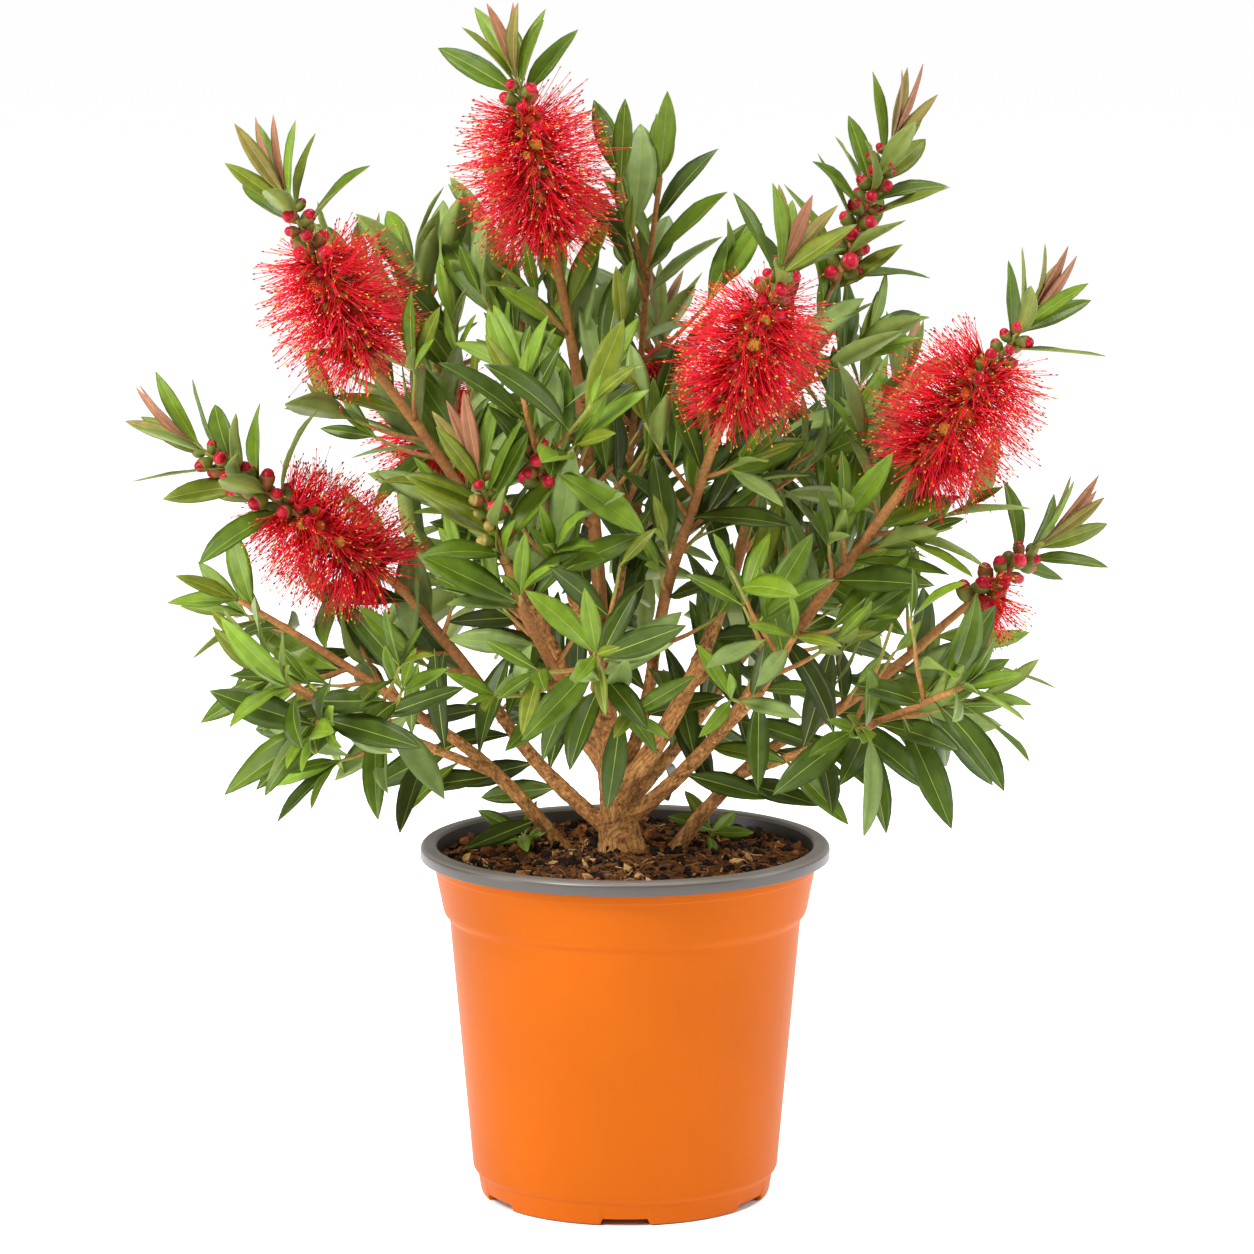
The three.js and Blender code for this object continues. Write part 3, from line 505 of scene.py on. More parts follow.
def chance(seed, k):
    """A repeatable number from 0 to 1 for the k-th choice of a seed."""
    mask = 0xFFFFFFFF
    h = (int(seed) * 374761393 + int(k) * 668265263) & mask
    h = ((h ^ (h >> 13)) * 1274126177) & mask
    return (h ^ (h >> 16)) / (mask + 1)


def vary(seed, k, low, high):
    """A repeatable number between two others."""
    return low + (high - low) * chance(seed, k)


def choose(names, seed, k):
    return names[int(len(names) * chance(seed, k))]


def unit(vectors):
    return vectors / np.linalg.norm(vectors, axis=-1, keepdims=True)


def turned(way, aside, angle):
    """A direction turned by an angle towards another that is square to it."""
    angle = np.asarray(angle, float)[..., None]
    return np.cos(angle) * way + np.sin(angle) * aside


def square_to(heading):
    """Directions square to the given ones, the same for the same heading."""
    side = np.cross(heading, UP)
    upright = np.linalg.norm(side, axis=-1, keepdims=True) < 0.05
    return unit(np.where(upright, np.cross(EAST, heading), side))


def radial(heading, angle):
    """Direction square to the heading, turned by an angle round it."""
    side = square_to(heading)
    return turned(side, np.cross(heading, side), angle)


def polar(radius, angle):
    """Flat points at a radius and an angle."""
    return np.stack([radius * np.cos(angle), radius * np.sin(angle)], axis=-1)


def raised(flat, level):
    """Flat points at a level."""
    return np.concatenate([flat, np.broadcast_to(level, flat.shape[:-1])[..., None]], axis=-1)


class Curve:
    """Quadratic curve through a foot, a middle and a tip."""

    def __init__(self, foot, middle, tip):
        self.foot = np.array(foot, float)
        self.tip = np.array(tip, float)
        self.control = 2 * np.array(middle, float) - (self.foot + self.tip) / 2
        steps = np.diff(self.at(np.linspace(0, 1, 33)), axis=0)
        self.length = float(np.linalg.norm(steps, axis=1).sum())

    def at(self, t):
        t = np.asarray(t, float)[..., None]
        return (1 - t) ** 2 * self.foot + 2 * t * (1 - t) * self.control + t * t * self.tip

    def heading(self, t):
        t = np.asarray(t, float)[..., None]
        return unit((1 - t) * (self.control - self.foot) + t * (self.tip - self.control))

    def beads(self, every):
        """Points along the curve, about one for each few millimetres."""
        return self.at(np.linspace(0, 1, max(3, math.ceil(self.length / every) + 1)))

    def beyond(self):
        """Point a hair past the tip, where the next stem begins."""
        return self.at(1.0) + self.heading(1.0) * GAP


# ---- pieces from arrays ----

class Batch:
    """Points and faces that are joined into one piece; every face has a look number."""

    def __init__(self):
        self.points = []
        self.faces = []
        self.looks = []
        self.total = 0

    def add(self, points, *skins):
        """Points (n, p, 3) of n bodies that share their faces; a skin is faces and their looks."""
        count, each = points.shape[:2]
        shifts = self.total + (np.arange(count) * each)[:, None, None]
        for faces, looks in skins:
            self.faces.extend((faces + shifts).reshape(-1, faces.shape[1]).tolist())
            self.looks.append(np.broadcast_to(looks, (count, len(faces))).ravel())
        self.points.append(points.reshape(-1, 3))
        self.total += count * each

    def mesh(self, name):
        mesh = bpy.data.meshes.new(name)
        mesh.from_pydata(np.concatenate(self.points) * MM, [], self.faces)
        return mesh

    def piece(self, name, crease=None):
        """The object of this batch, with only the finishes that it uses."""
        mesh = self.mesh(name)
        used, numbers = np.unique(np.concatenate(self.looks), return_inverse=True)
        mesh.polygons.foreach_set("material_index", numbers)
        for number in used:
            mesh.materials.append(finishes[number])
        return finished(mesh, crease)


def finished(mesh, crease=None):
    """Object of a mesh, smooth but for edges sharper than the crease angle."""
    mesh.update(calc_edges=True)
    mesh.shade_smooth()
    if crease:
        mesh.set_sharp_from_angle(angle=math.radians(crease))
    piece = bpy.data.objects.new(mesh.name, mesh)
    bpy.context.scene.collection.objects.link(piece)
    return piece


def plain_piece(name, points, faces, material, crease=None):
    """Object of one skin in one material."""
    batch = Batch()
    batch.add(points.reshape(1, -1, 3), (faces, 0))
    mesh = batch.mesh(name)
    mesh.materials.append(material)
    return finished(mesh, crease)


def settle(piece, slot, *nodes):
    """Hang a piece on the plant's body, in the place of any CAD nodes it stands for."""
    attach(piece, "root")
    if nodes:
        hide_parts(*nodes)


def band_faces(rings, sides):
    """Quads between rings of corners."""
    ring = np.arange(rings - 1)[:, None] * sides
    side = np.arange(sides)[None]
    a = ring + side
    b = ring + (side + 1) % sides
    return np.stack([a, b, b + sides, a + sides], axis=-1).reshape(-1, 4)


def cap_faces(rings, sides):
    """Fans that close the first and the last ring."""
    fan = np.arange(1, sides - 1)
    first = np.stack([0 * fan, fan + 1, fan], axis=-1)
    return np.concatenate([first, first[:, [0, 2, 1]] + (rings - 1) * sides])


def add_rings(batch, points, looks):
    """Closed skins over rings of corners: points (n, rings, sides, 3), looks (n, rings - 1)."""
    count, rings, sides = points.shape[:3]
    looks = np.broadcast_to(looks, (count, rings - 1))
    bands = (band_faces(rings, sides), np.repeat(looks, sides, axis=1))
    caps = (cap_faces(rings, sides), np.repeat(looks[:, [0, -1]], sides - 2, axis=1))
    batch.add(points.reshape(count, -1, 3), bands, caps)


def add_tubes(batch, centres, radii, sides, looks):
    """Tapering tubes along many lines at once: centres (n, k, 3), radii (n, k)."""
    heading = unit(np.gradient(centres, axis=1))
    side = square_to(unit(centres[:, -1] - centres[:, 0]))[:, None]
    side = unit(side - (side * heading).sum(-1, keepdims=True) * heading)
    other = np.cross(heading, side)
    ring = turned(side[:, :, None], other[:, :, None], np.arange(sides) * TAU / sides)
    add_rings(batch, centres[:, :, None] + radii[:, :, None, None] * ring, looks)


def add_turned(batch, centres, axes, sizes, profile, sides, looks):
    """One turned form at many places, from a profile of height and radius."""
    rise, reach = np.array(profile, float).T[:, None, :, None, None]
    ring = radial(axes[:, None], np.arange(sides) * TAU / sides)[:, None]
    form = rise * axes[:, None, None] + reach * ring
    add_rings(batch, centres[:, None, None] + np.reshape(sizes, (-1, 1, 1, 1)) * form, looks)


# ---- materials ----

def linear(colour, share=1.0):
    """Linear colour, made lighter or darker by a share, from 0-255 values."""
    values = np.array(colour) / 255
    values = np.where(values <= 0.04045, values / 12.92, ((values + 0.055) / 1.055) ** 2.4)
    return (*np.clip(values * share, 0, 1), 1.0)


def blank_material(name, **values):
    """A new material, its node tree and its shader with the given values."""
    material = bpy.data.materials.new(name)
    material.use_nodes = True
    shader = material.node_tree.nodes["Principled BSDF"]
    for key, value in values.items():
        shader.inputs[key.replace("_", " ")].default_value = value
    return material, material.node_tree, shader


def add_noise(tree, scale, detail=4.0, place=None):
    """Noise over the object's own coordinates, or over other ones."""
    if place is None:
        place = tree.nodes.new("ShaderNodeTexCoord").outputs["Object"]
    speckle = tree.nodes.new("ShaderNodeTexNoise")
    speckle.inputs["Scale"].default_value = scale
    speckle.inputs["Detail"].default_value = detail
    tree.links.new(place, speckle.inputs["Vector"])
    return speckle.outputs["Fac"]


def add_colour(tree, shader, source, stops):
    """Colour by a value, through stops of position, colour and its share of light."""
    ramp = tree.nodes.new("ShaderNodeValToRGB")
    elements = ramp.color_ramp.elements
    while len(elements) < len(stops):
        elements.new(0.5)
    for element, (position, *colour) in zip(elements, stops):
        element.position = position
        element.color = linear(*colour)
    tree.links.new(source, ramp.inputs["Fac"])
    tree.links.new(ramp.outputs["Color"], shader.inputs["Base Color"])


def mottled(colour, share):
    """Stops from a little darker to a little lighter than a colour."""
    return [(0.3, colour, 1 - share), (0.7, colour, 1 + share)]


def add_bump(tree, shader, source, strength, depth):
    """Fine relief by a value, its depth in millimetres."""
    bump = tree.nodes.new("ShaderNodeBump")
    bump.inputs["Strength"].default_value = strength
    bump.inputs["Distance"].default_value = depth * MM
    tree.links.new(source, bump.inputs["Height"])
    tree.links.new(bump.outputs["Normal"], shader.inputs["Normal"])


def plant_material(name, colour, roughness, mottle, grain, relief):
    """Plain colour with a fine mottling that has no place of its own."""
    material, tree, shader = blank_material(name, Roughness=roughness, Specular_IOR_Level=PLANT_SHINE)
    speckle = add_noise(tree, grain)
    add_colour(tree, shader, speckle, mottled(colour, mottle))
    if relief:
        add_bump(tree, shader, speckle, relief, depth=0.3)
    return material


def bark_material():
    """Brown bark, dark in its cracks, with a fine grain that follows each limb."""
    material, tree, shader = blank_material("bark", Roughness=0.8)
    relief, grain = (tree.nodes.new("ShaderNodeAttribute") for _ in range(2))
    relief.attribute_name = "relief"
    grain.attribute_name = "grain"
    streaks = add_noise(tree, scale=4.4, detail=8, place=grain.outputs["Vector"])
    mix = tree.nodes.new("ShaderNodeMath")
    mix.operation = "MULTIPLY_ADD"
    mix.inputs[1].default_value = 0.9
    tree.links.new(streaks, mix.inputs[0])
    tree.links.new(relief.outputs["Fac"], mix.inputs[2])
    add_colour(tree, shader, mix.outputs["Value"], BARK_STOPS)
    add_bump(tree, shader, streaks, strength=0.9, depth=0.6)
    return material


def pot_material(name):
    """Moulded plastic with a faint cloudiness and fine specks."""
    colour, roughness, scuff, specular = PLASTICS[name]
    material, tree, shader = blank_material(name, Roughness=roughness, Specular_IOR_Level=specular)
    add_colour(tree, shader, add_noise(tree, scale=14, detail=6), mottled(colour, scuff))
    add_bump(tree, shader, add_noise(tree, scale=260, detail=3), strength=0.06, depth=0.2)
    return material


def soil_material():
    material, tree, shader = blank_material("soil", Roughness=0.97)
    crumbs = add_noise(tree, scale=260, detail=8)
    add_colour(tree, shader, crumbs, SOIL_STOPS)
    add_bump(tree, shader, crumbs, strength=1.0, depth=1.5)
    return material


# ---- pot and soil ----

def wall_radius(height):
    """Radius of the orange wall's outer face at a height above the foot seam."""
    if height >= LEDGE_HEIGHT:
        share = (height - LEDGE_HEIGHT) / (RIM_TOP - RIM_BAND - LEDGE_HEIGHT)
        return LEDGE_RADIUS + share * (WALL_TOP_RADIUS - LEDGE_RADIUS)
    share = (height - SEAM_HEIGHT) / (LEDGE_HEIGHT - SEAM_HEIGHT)
    return BODY_FOOT_RADIUS + share * (BODY_TOP_RADIUS - BODY_FOOT_RADIUS)


def rounded(profile, radius, steps=4):
    """Closed profile whose corners are eased by arcs of about the given radius."""
    corners = np.array(profile, float)
    points = []
    for before, corner, after in zip(np.roll(corners, 1, 0), corners, np.roll(corners, -1, 0)):
        back, ahead = before - corner, after - corner
        easy = min(radius, np.linalg.norm(back) * EASE_SHARE, np.linalg.norm(ahead) * EASE_SHARE)
        back, ahead = unit(back), unit(ahead)
        arc = Curve(corner + back * easy, corner + (back + ahead) * easy / 4, corner + ahead * easy)
        points.extend(arc.at(np.linspace(0, 1, steps)))
    return np.array(points)


def turned_piece(name, profile, material, angles=CIRCLE, lift=None):
    """Closed profile of [radius, height] turned round the upright axis."""
    radius, height = profile.T[:, :, None]
    points = raised(polar(radius, angles), lift(height) if lift else height)
    faces = band_faces(len(profile) + 1, len(angles)) % (len(profile) * len(angles))
    return plain_piece(name, points, faces, pot_material(material), POT_CREASE)


def make_pot():
    """Orange shell with its ledge, foot seam and drainage notches."""
    top = RIM_TOP - RIM_SHEET - 2 * GAP
    band = RIM_TOP - RIM_BAND
    floor_top = FLOOR_RISE + 2 * WALL
    inner_foot = FOOT_RADIUS - FOOT_WIDTH
    below = LEDGE_HEIGHT - LEDGE_SLOPE
    undercut, under = LEDGE_UNDERCUT
    profile = rounded([
        [INNERMOST, FLOOR_RISE], [inner_foot, FLOOR_RISE], [inner_foot, 0], [FOOT_RADIUS, 0],
        [FOOT_TOP_RADIUS, SEAM_HEIGHT - STEP], [BODY_FOOT_RADIUS - SOFT_STEP, SEAM_HEIGHT],
        [wall_radius(SEAM_HEIGHT + STEP), SEAM_HEIGHT + STEP], [wall_radius(below), below],
        [LEDGE_RADIUS - undercut, LEDGE_HEIGHT - under], [LEDGE_RADIUS, LEDGE_HEIGHT + SOFT_STEP],
        [wall_radius(BEAD_HEIGHT), BEAD_HEIGHT],
        [wall_radius(BEAD_HEIGHT) + BEAD_RISE, BEAD_HEIGHT + SOFT_STEP],
        [wall_radius(band) + BEAD_RISE, band], [wall_radius(top), top], [wall_radius(top) - WALL, top],
        [LEDGE_RADIUS - WALL, LEDGE_HEIGHT + STEP], [wall_radius(below) - WALL, below + 1],
        [wall_radius(floor_top) - 2 * WALL, floor_top], [INNERMOST, floor_top],
    ], EASE)
    half = NOTCH_WIDTH / 2 / FOOT_RADIUS
    centres = -TAU / 4 + np.arange(NOTCHES) * TAU / NOTCHES
    edges = np.array([half - NOTCH_SLOPE, half, half + NOTCH_EDGE])
    extra = (centres[:, None] + np.concatenate([-edges, edges])).ravel() % TAU
    angles = np.unique(np.concatenate([CIRCLE, extra]))
    off = np.abs((angles - centres[:, None] + TAU / 2) % TAU - TAU / 2).min(axis=0)
    notch = NOTCH_HEIGHT * np.clip((half - off) / NOTCH_SLOPE * 0.5 + 0.5, 0, 1) * (off <= half)

    def lift(height):
        return np.where(height < NOTCH_HEIGHT, np.maximum(height, notch), height)

    settle(turned_piece("pot_shell", profile, "pot_orange", angles, lift), "pot_orange", "pot")


def make_rim():
    """Dark rolled lip and the lining that shows above the soil."""
    inner = RIM_RADIUS - LIP_WIDTH
    under = RIM_TOP - RIM_SHEET
    band = RIM_TOP - RIM_BAND
    (outer_in, outer_down), (inner_in, inner_down) = OUTER_BEVEL, INNER_BEVEL

    def lining(height):
        return wall_radius(height) - WALL - GAP

    profile = rounded([
        [lining(SKIRT_FOOT) - RIM_SHEET + SKIRT_TAPER, SKIRT_FOOT], [lining(SKIRT_FOOT), SKIRT_FOOT],
        [lining(under), under], [RIM_RADIUS - RIM_SHEET, under], [RIM_RADIUS - RIM_SHEET, band],
        [RIM_RADIUS, band], [RIM_RADIUS, RIM_TOP - outer_down], [RIM_RADIUS - outer_in, RIM_TOP],
        [inner + inner_in, RIM_TOP], [inner, RIM_TOP - inner_down],
    ], LIP_EASE)
    piece = turned_piece("pot_lip", profile, "pot_grey")
    piece.data.materials.append(pot_material("pot_crown"))
    piece.data.materials.append(pot_material("pot_lining"))
    for face in piece.data.polygons:
        x, y, z = face.center / MM
        # the lip's top faces take a lighter grey as a painted highlight
        if z > RIM_TOP - LIP_HIGHLIGHT:
            face.material_index = 1
        # the inner faces take a darker grey as painted shade
        elif math.hypot(x, y) < inner:
            face.material_index = 2
    settle(piece, "pot_grey", "pot_rim")


def soil_radius():
    """Radius of the lining's inner face at the soil's edge."""
    return wall_radius(SOIL_EDGE) - WALL - RIM_SHEET


def soil_height(x, y):
    """Height of the loose surface: a low dome with lumps and hollows."""
    dome = max(0, 1 - math.hypot(x, y) / soil_radius()) ** DOME_POWER
    lumps = sum(noise.noise(Vector((x, y, level)) * scale) * rise for scale, rise, level in SOIL_LUMPS)
    mound = SOIL_MOUND * math.exp(-((x - MOUND_PLACE) ** 2 + y * y) / MOUND_WIDTH ** 2)
    return SOIL_EDGE + (SOIL_LEVEL - SOIL_EDGE) * dome + lumps + mound - SOIL_SINK


def on_soil(places, lift):
    """Flat places raised to the soil's surface and a little above it."""
    level = np.reshape([soil_height(x, y) for x, y in places.reshape(-1, 2)], places.shape[:-1])
    return raised(places, level + lift)


def make_soil():
    """Bed of soil that fills the top of the pot, its skirt and underside hidden in the pot."""
    rings = np.linspace(INNERMOST, soil_radius() - 3 * GAP, SOIL_RINGS)
    flat = polar(rings[:, None], CIRCLE)
    bottom = raised(flat[[-1, 0]], SOIL_EDGE - SOIL_DEPTH)
    grid = np.concatenate([on_soil(flat, 0), bottom]).reshape(-1, 3)
    faces = band_faces(SOIL_RINGS + 3, len(CIRCLE)) % len(grid)
    settle(plain_piece("soil_bed", grid, faces, soil_material()), "soil", "soil")


def icosahedron():
    golden = (1 + math.sqrt(5)) / 2
    flat = [(0, s, t * golden) for s in (-1, 1) for t in (-1, 1)]
    points = unit(np.array([np.roll(p, turn) for p in flat for turn in range(3)], float))
    near = np.linalg.norm(points[:, None] - points, axis=-1) < 1.2
    faces = [face for face in combinations(range(12), 3) if near[np.ix_(face, face)].all()]
    for number, (a, b, c) in enumerate(faces):
        if np.dot(np.cross(points[b] - points[a], points[c] - points[a]), points[a]) <= 0:
            faces[number] = (a, c, b)
    return points, np.array(faces)


def random_turns(rng, count):
    """Rotation matrices in any direction."""
    first = unit(rng.normal(size=(count, 3)))
    second = rng.normal(size=(count, 3))
    second = unit(second - (second * first).sum(-1, keepdims=True) * first)
    return np.stack([first, second, np.cross(first, second)], axis=-1)


def add_fibres(batch, rng, edge):
    """Thin bent fibres that lie on the soil."""
    radius = edge * np.sqrt(rng.random(FIBRES))
    angle, turn = TAU * rng.random((2, FIBRES))
    middle, way = polar(radius, angle), polar(1, turn)
    half = rng.uniform(*FIBRE_HALF, FIBRES)[:, None]
    bow = way[:, ::-1] * [-1, 1] * half * rng.normal(size=(FIBRES, 1)) * FIBRE_BOW
    flat = np.stack([middle + way * half * share + bow * (1 - share * share)
                     for share in FIBRE_SHARES], axis=1)
    thick = rng.uniform(*FIBRE_RADIUS, (FIBRES, 1)) * np.ones(4)
    add_tubes(batch, on_soil(flat, FIBRE_LIFT), thick, 3, pick(rng, FIBRE_LOOKS, (FIBRES, 1)))


def make_crumbs():
    """Crumbs, chips of bark and fibres strewn over the soil."""
    rng = np.random.default_rng(11)
    ball, faces = icosahedron()
    edge = soil_radius() - CRUMB_MARGIN
    batch = Batch()
    for count, size, spread, shape, shares in CRUMB_SORTS:
        radius = edge * np.sqrt(rng.random(count))
        angle = TAU * rng.random(count)
        sizes = np.minimum(size * np.exp(spread * rng.normal(size=count)), CRUMB_LIMIT)
        jitter = 1 + CRUMB_JITTER * rng.normal(size=(count, len(ball), 1))
        local = ball * jitter * np.array(shape) * sizes[:, None, None]
        world = np.einsum("nij,npj->npi", random_turns(rng, count), local)
        world += on_soil(polar(radius, angle), sizes * CRUMB_LIFT)[:, None]
        keep = radius + sizes * 1.5 < edge + 3
        numbers = pick(rng, dict(zip(CRUMB_LOOKS, shares)), count)
        batch.add(world[keep], (faces, numbers[keep][:, None]))
    add_fibres(batch, rng, edge - FIBRE_MARGIN)
    settle(batch.piece("soil_crumbs", CRUMB_CREASE), "soil")


# ---- trunk and boughs ----

class Limb(namedtuple("Limb", "name path wide thin flare", defaults=[0])):
    """A tapering limb along a curve."""

    def flared(self, t):
        return np.maximum(0, 1 - t / FLARE_SHARE)

    def radius(self, t):
        return self.wide + (self.thin - self.wide) * t + self.flare * self.flared(t) ** 2


def limb_rings(limb):
    """Rings of a limb with a collar where it leaves its parent and a slight unevenness."""
    t = np.linspace(0, 1, max(6, int(limb.path.length / BARK_STEP)) + 1)
    collar = 1 + (0 if limb.flare else COLLAR) * np.exp(-t * limb.path.length / COLLAR_LENGTH)
    angle = np.arange(BARK_SIDES) * TAU / BARK_SIDES
    grain_along, grain_round = GNARL_GRAIN
    points = []
    for share, middle, way, size in zip(t, limb.path.at(t), limb.path.heading(t), limb.radius(t) * collar):
        for out in radial(way, angle):
            gnarl = noise.noise(Vector(middle * grain_along + out * grain_round + len(limb.name)))
            lobe = limb.flare and FLARE_LOBE * limb.flared(share) * out.dot(radial(way, 0.7)) ** 2
            points.append(middle + out * size * (1 + GNARL * gnarl + lobe))
    return np.reshape(points, (1, len(t), BARK_SIDES, 3))


def bark_mesh(limbs):
    """One skin over the trunk and all boughs, its crotches softened."""
    batch = Batch()
    for limb in limbs:
        add_rings(batch, limb_rings(limb), 0)
    rough = finished(batch.mesh("bark_rough"))
    remesh = rough.modifiers.new("skin", "REMESH")
    remesh.mode = "VOXEL"
    remesh.voxel_size = BARK_VOXEL * MM
    smooth = rough.modifiers.new("ease", "SMOOTH")
    smooth.factor = 0.5
    smooth.iterations = 4
    graph = bpy.context.evaluated_depsgraph_get()
    mesh = bpy.data.meshes.new_from_object(rough.evaluated_get(graph))
    bpy.data.objects.remove(rough)
    mesh.name = "bark"
    return mesh


def limb_frame(limbs, points):
    """For each point the nearest limb's bead: its centre, heading and distance along the limb."""
    beads = []
    for number, limb in enumerate(limbs):
        t = np.linspace(0, 1, max(3, int(limb.path.length / 2)))[:, None]
        along = t * limb.path.length + LIMB_SHIFT * number
        beads.append(np.hstack([limb.path.at(t[:, 0]), limb.path.heading(t[:, 0]), along]))
    beads = np.concatenate(beads)
    nearest = [
        ((block[:, None] - beads[:, :3]) ** 2).sum(-1).argmin(1)
        for block in np.array_split(points, 1 + len(points) // 4000)
    ]
    return np.split(beads[np.concatenate(nearest)], [3, 6], axis=1)


def vectors_of(data, name):
    """One vector of each item as an array."""
    values = np.empty(len(data) * 3)
    data.foreach_get(name, values)
    return values.reshape(-1, 3)


def noise_at(points):
    return np.array([noise.noise(Vector(point)) for point in points])


def carve(mesh, limbs):
    """Push the skin in along lengthwise cracks and out in flakes, and store the relief."""
    points = vectors_of(mesh.vertices, "co") / MM
    normals = vectors_of(mesh.vertex_normals, "vector")
    centres, headings, along = limb_frame(limbs, points)
    off = points - centres
    off -= (off * headings).sum(-1, keepdims=True) * headings
    (crack_across, crack_along, crack_depth), (flake_across, flake_along, flake_depth) = CRACKS, FLAKES
    grain = off * crack_across + headings * (along * crack_along)
    crack = (1 - abs(noise_at(grain))) ** CRACK_POWER
    flake = noise_at(off * flake_across + headings * (along * flake_along) + 31.0)
    depth = np.clip(np.linalg.norm(off, axis=-1) / FULL_DEPTH_RADIUS, LEAST_DEPTH, 1.0)
    points += normals * (depth * (flake_depth * flake - crack_depth * crack))[:, None]
    mesh.vertices.foreach_set("co", (points * MM).ravel())
    lines = mesh.attributes.new("grain", "FLOAT_VECTOR", "POINT")
    lines.data.foreach_set("vector", grain.ravel())
    level, by_flake, by_crack = RELIEF
    relief = mesh.attributes.new("relief", "FLOAT", "POINT")
    relief.data.foreach_set("value", level + by_flake * flake + by_crack * crack)


def make_bark(limbs):
    mesh = bark_mesh(limbs)
    carve(mesh, limbs)
    mesh.materials.clear()
    mesh.materials.append(bark_material())
    nodes = [limb.name if limb.name == "trunk" else f"bough_{limb.name}" for limb in limbs]
    settle(finished(mesh), "bark", *nodes)


# ---- shoots, twigs and leaves ----

class Shoot:
    """Leafy shoot that grows on from a bough's tip."""

    def __init__(self, index, bough, middle, tip, reach, lift, opening, fullness):
        self.name = bough.name
        self.path = Curve(bough.path.beyond(), middle, tip)
        self.reach = reach
        self.lift = lift
        self.opening = opening
        self.fullness = fullness
        self.wide = bough.thin
        self.thin = STEM_TIP_RADIUS
        self.seed = 1000 * (index + 1)
        self.leaf_length = LEAF_LENGTH * (OPEN_SHARE if opening else 1)
        self.flower = None

    def beads(self):
        own = self.path.beads(8)
        return np.concatenate([own, self.flower.path.beads(8)]) if self.flower else own


class Flower:
    """Flowering twig at the end of a shoot."""

    def __init__(self, index, shoot, end, radius, brush_to, buds_to):
        foot = shoot.path.beyond()
        self.name = shoot.name
        self.path = Curve(foot, (foot + end) / 2 + 2 * shoot.path.heading(1.0), end)
        self.radius = radius
        self.brush_to = brush_to
        self.buds_to = buds_to
        self.seed = 50000 + 1000 * index
        shoot.flower = self
        shoot.thin = FLOWER_STEM_RADIUS


class Leaf(namedtuple("Leaf", "root along face length width curl fold twist tone")):
    """One leaf: where it starts, its way, the way its upper face looks, and its form."""

    def spine(self, shares):
        """Points along the curved midrib at shares of its length."""
        angle = self.curl * np.asarray(shares, float)[:, None]
        ahead = self.length * np.sin(angle) / self.curl * self.along
        return self.root + ahead - self.length * (1 - np.cos(angle)) / self.curl * self.face


def in_space(point, name, spaces):
    """True where a point lies in the shoot's own share of the crown."""
    shares = {other: math.sqrt(((beads - point) ** 2).sum(-1).min()) / reach
              for other, (beads, reach) in spaces.items()}
    mine = shares.pop(name)
    return mine <= SPACE_LIMIT and min(shares.values()) >= mine - SPACE_SLACK


def stays_clear(leaf, solids):
    """True where a leaf passes beside wood, brushes and the pot."""
    points = leaf.spine([0.3, 0.5, 0.7, 0.85, 1.0])
    away = np.hypot(points[:, 0], points[:, 1])
    inside = away < RIM_RADIUS - LIP_WIDTH - POT_ROOM
    under = np.where(inside, SOIL_LEVEL + POT_ROOM, RIM_TOP + 1)
    if ((away < RIM_RADIUS + 2) & (points[:, 2] < under)).any():
        return False
    beads, radii = solids
    away = np.linalg.norm(points[:, None] - beads, axis=-1)
    near_root = np.linalg.norm(beads - leaf.root, axis=-1) < radii + ROOT_ROOM
    return bool(((away > radii + CLEARANCE) | near_root).all())


def hides_stem(leaf, stems):
    """True where a leaf hangs close in front of a stem that shows between the leaves."""
    x, y, z = np.moveaxis(leaf.spine([0.25, 0.5, 0.75])[:, None] - stems, -1, 0)
    near, far = IN_FRONT
    off = np.hypot(x, z + SIGHT_FALL * y)
    return bool(((-y > near) & (-y < far) & (off < STEM_WINDOW)).any())


def outward(place):
    """Way out of the crown, more to its front or back than to its sides."""
    x, y, z = place - CROWN_HEART
    return unit(np.array([FACE_ASIDE * x, FACE_DEPTH * math.tanh(y / FACE_TURN), FACE_RISE * z]))


def leaf_at(path, t, turn, spread, length, lift, share, seed, tone):
    """Leaf on a twig at a share of its length, its upper face turned to the tip and outward."""
    heading = path.heading(t)
    along = unit(turned(heading, radial(heading, turn), spread) + lift * UP)
    root = path.at(t) - LEAF_SINK * along
    face = FACE_HEADING * heading + FACE_OUT * outward(root) + FACE_UP * UP
    face = unit(face - face.dot(along) * along)
    roll = FACE_ROLL * (chance(round(100 * length), round(10 * turn)) - 0.5)
    face = turned(face, np.cross(along, face), roll)
    least, more = LEAF_CURL
    curl = least + more * chance(seed, 5) ** 1.5
    fold = vary(seed, 6, *LEAF_FOLD)
    twist = vary(seed, 7, *LEAF_TWIST)
    return Leaf(root, along, face, length, length * share, curl, fold, twist, list(TONES).index(tone))


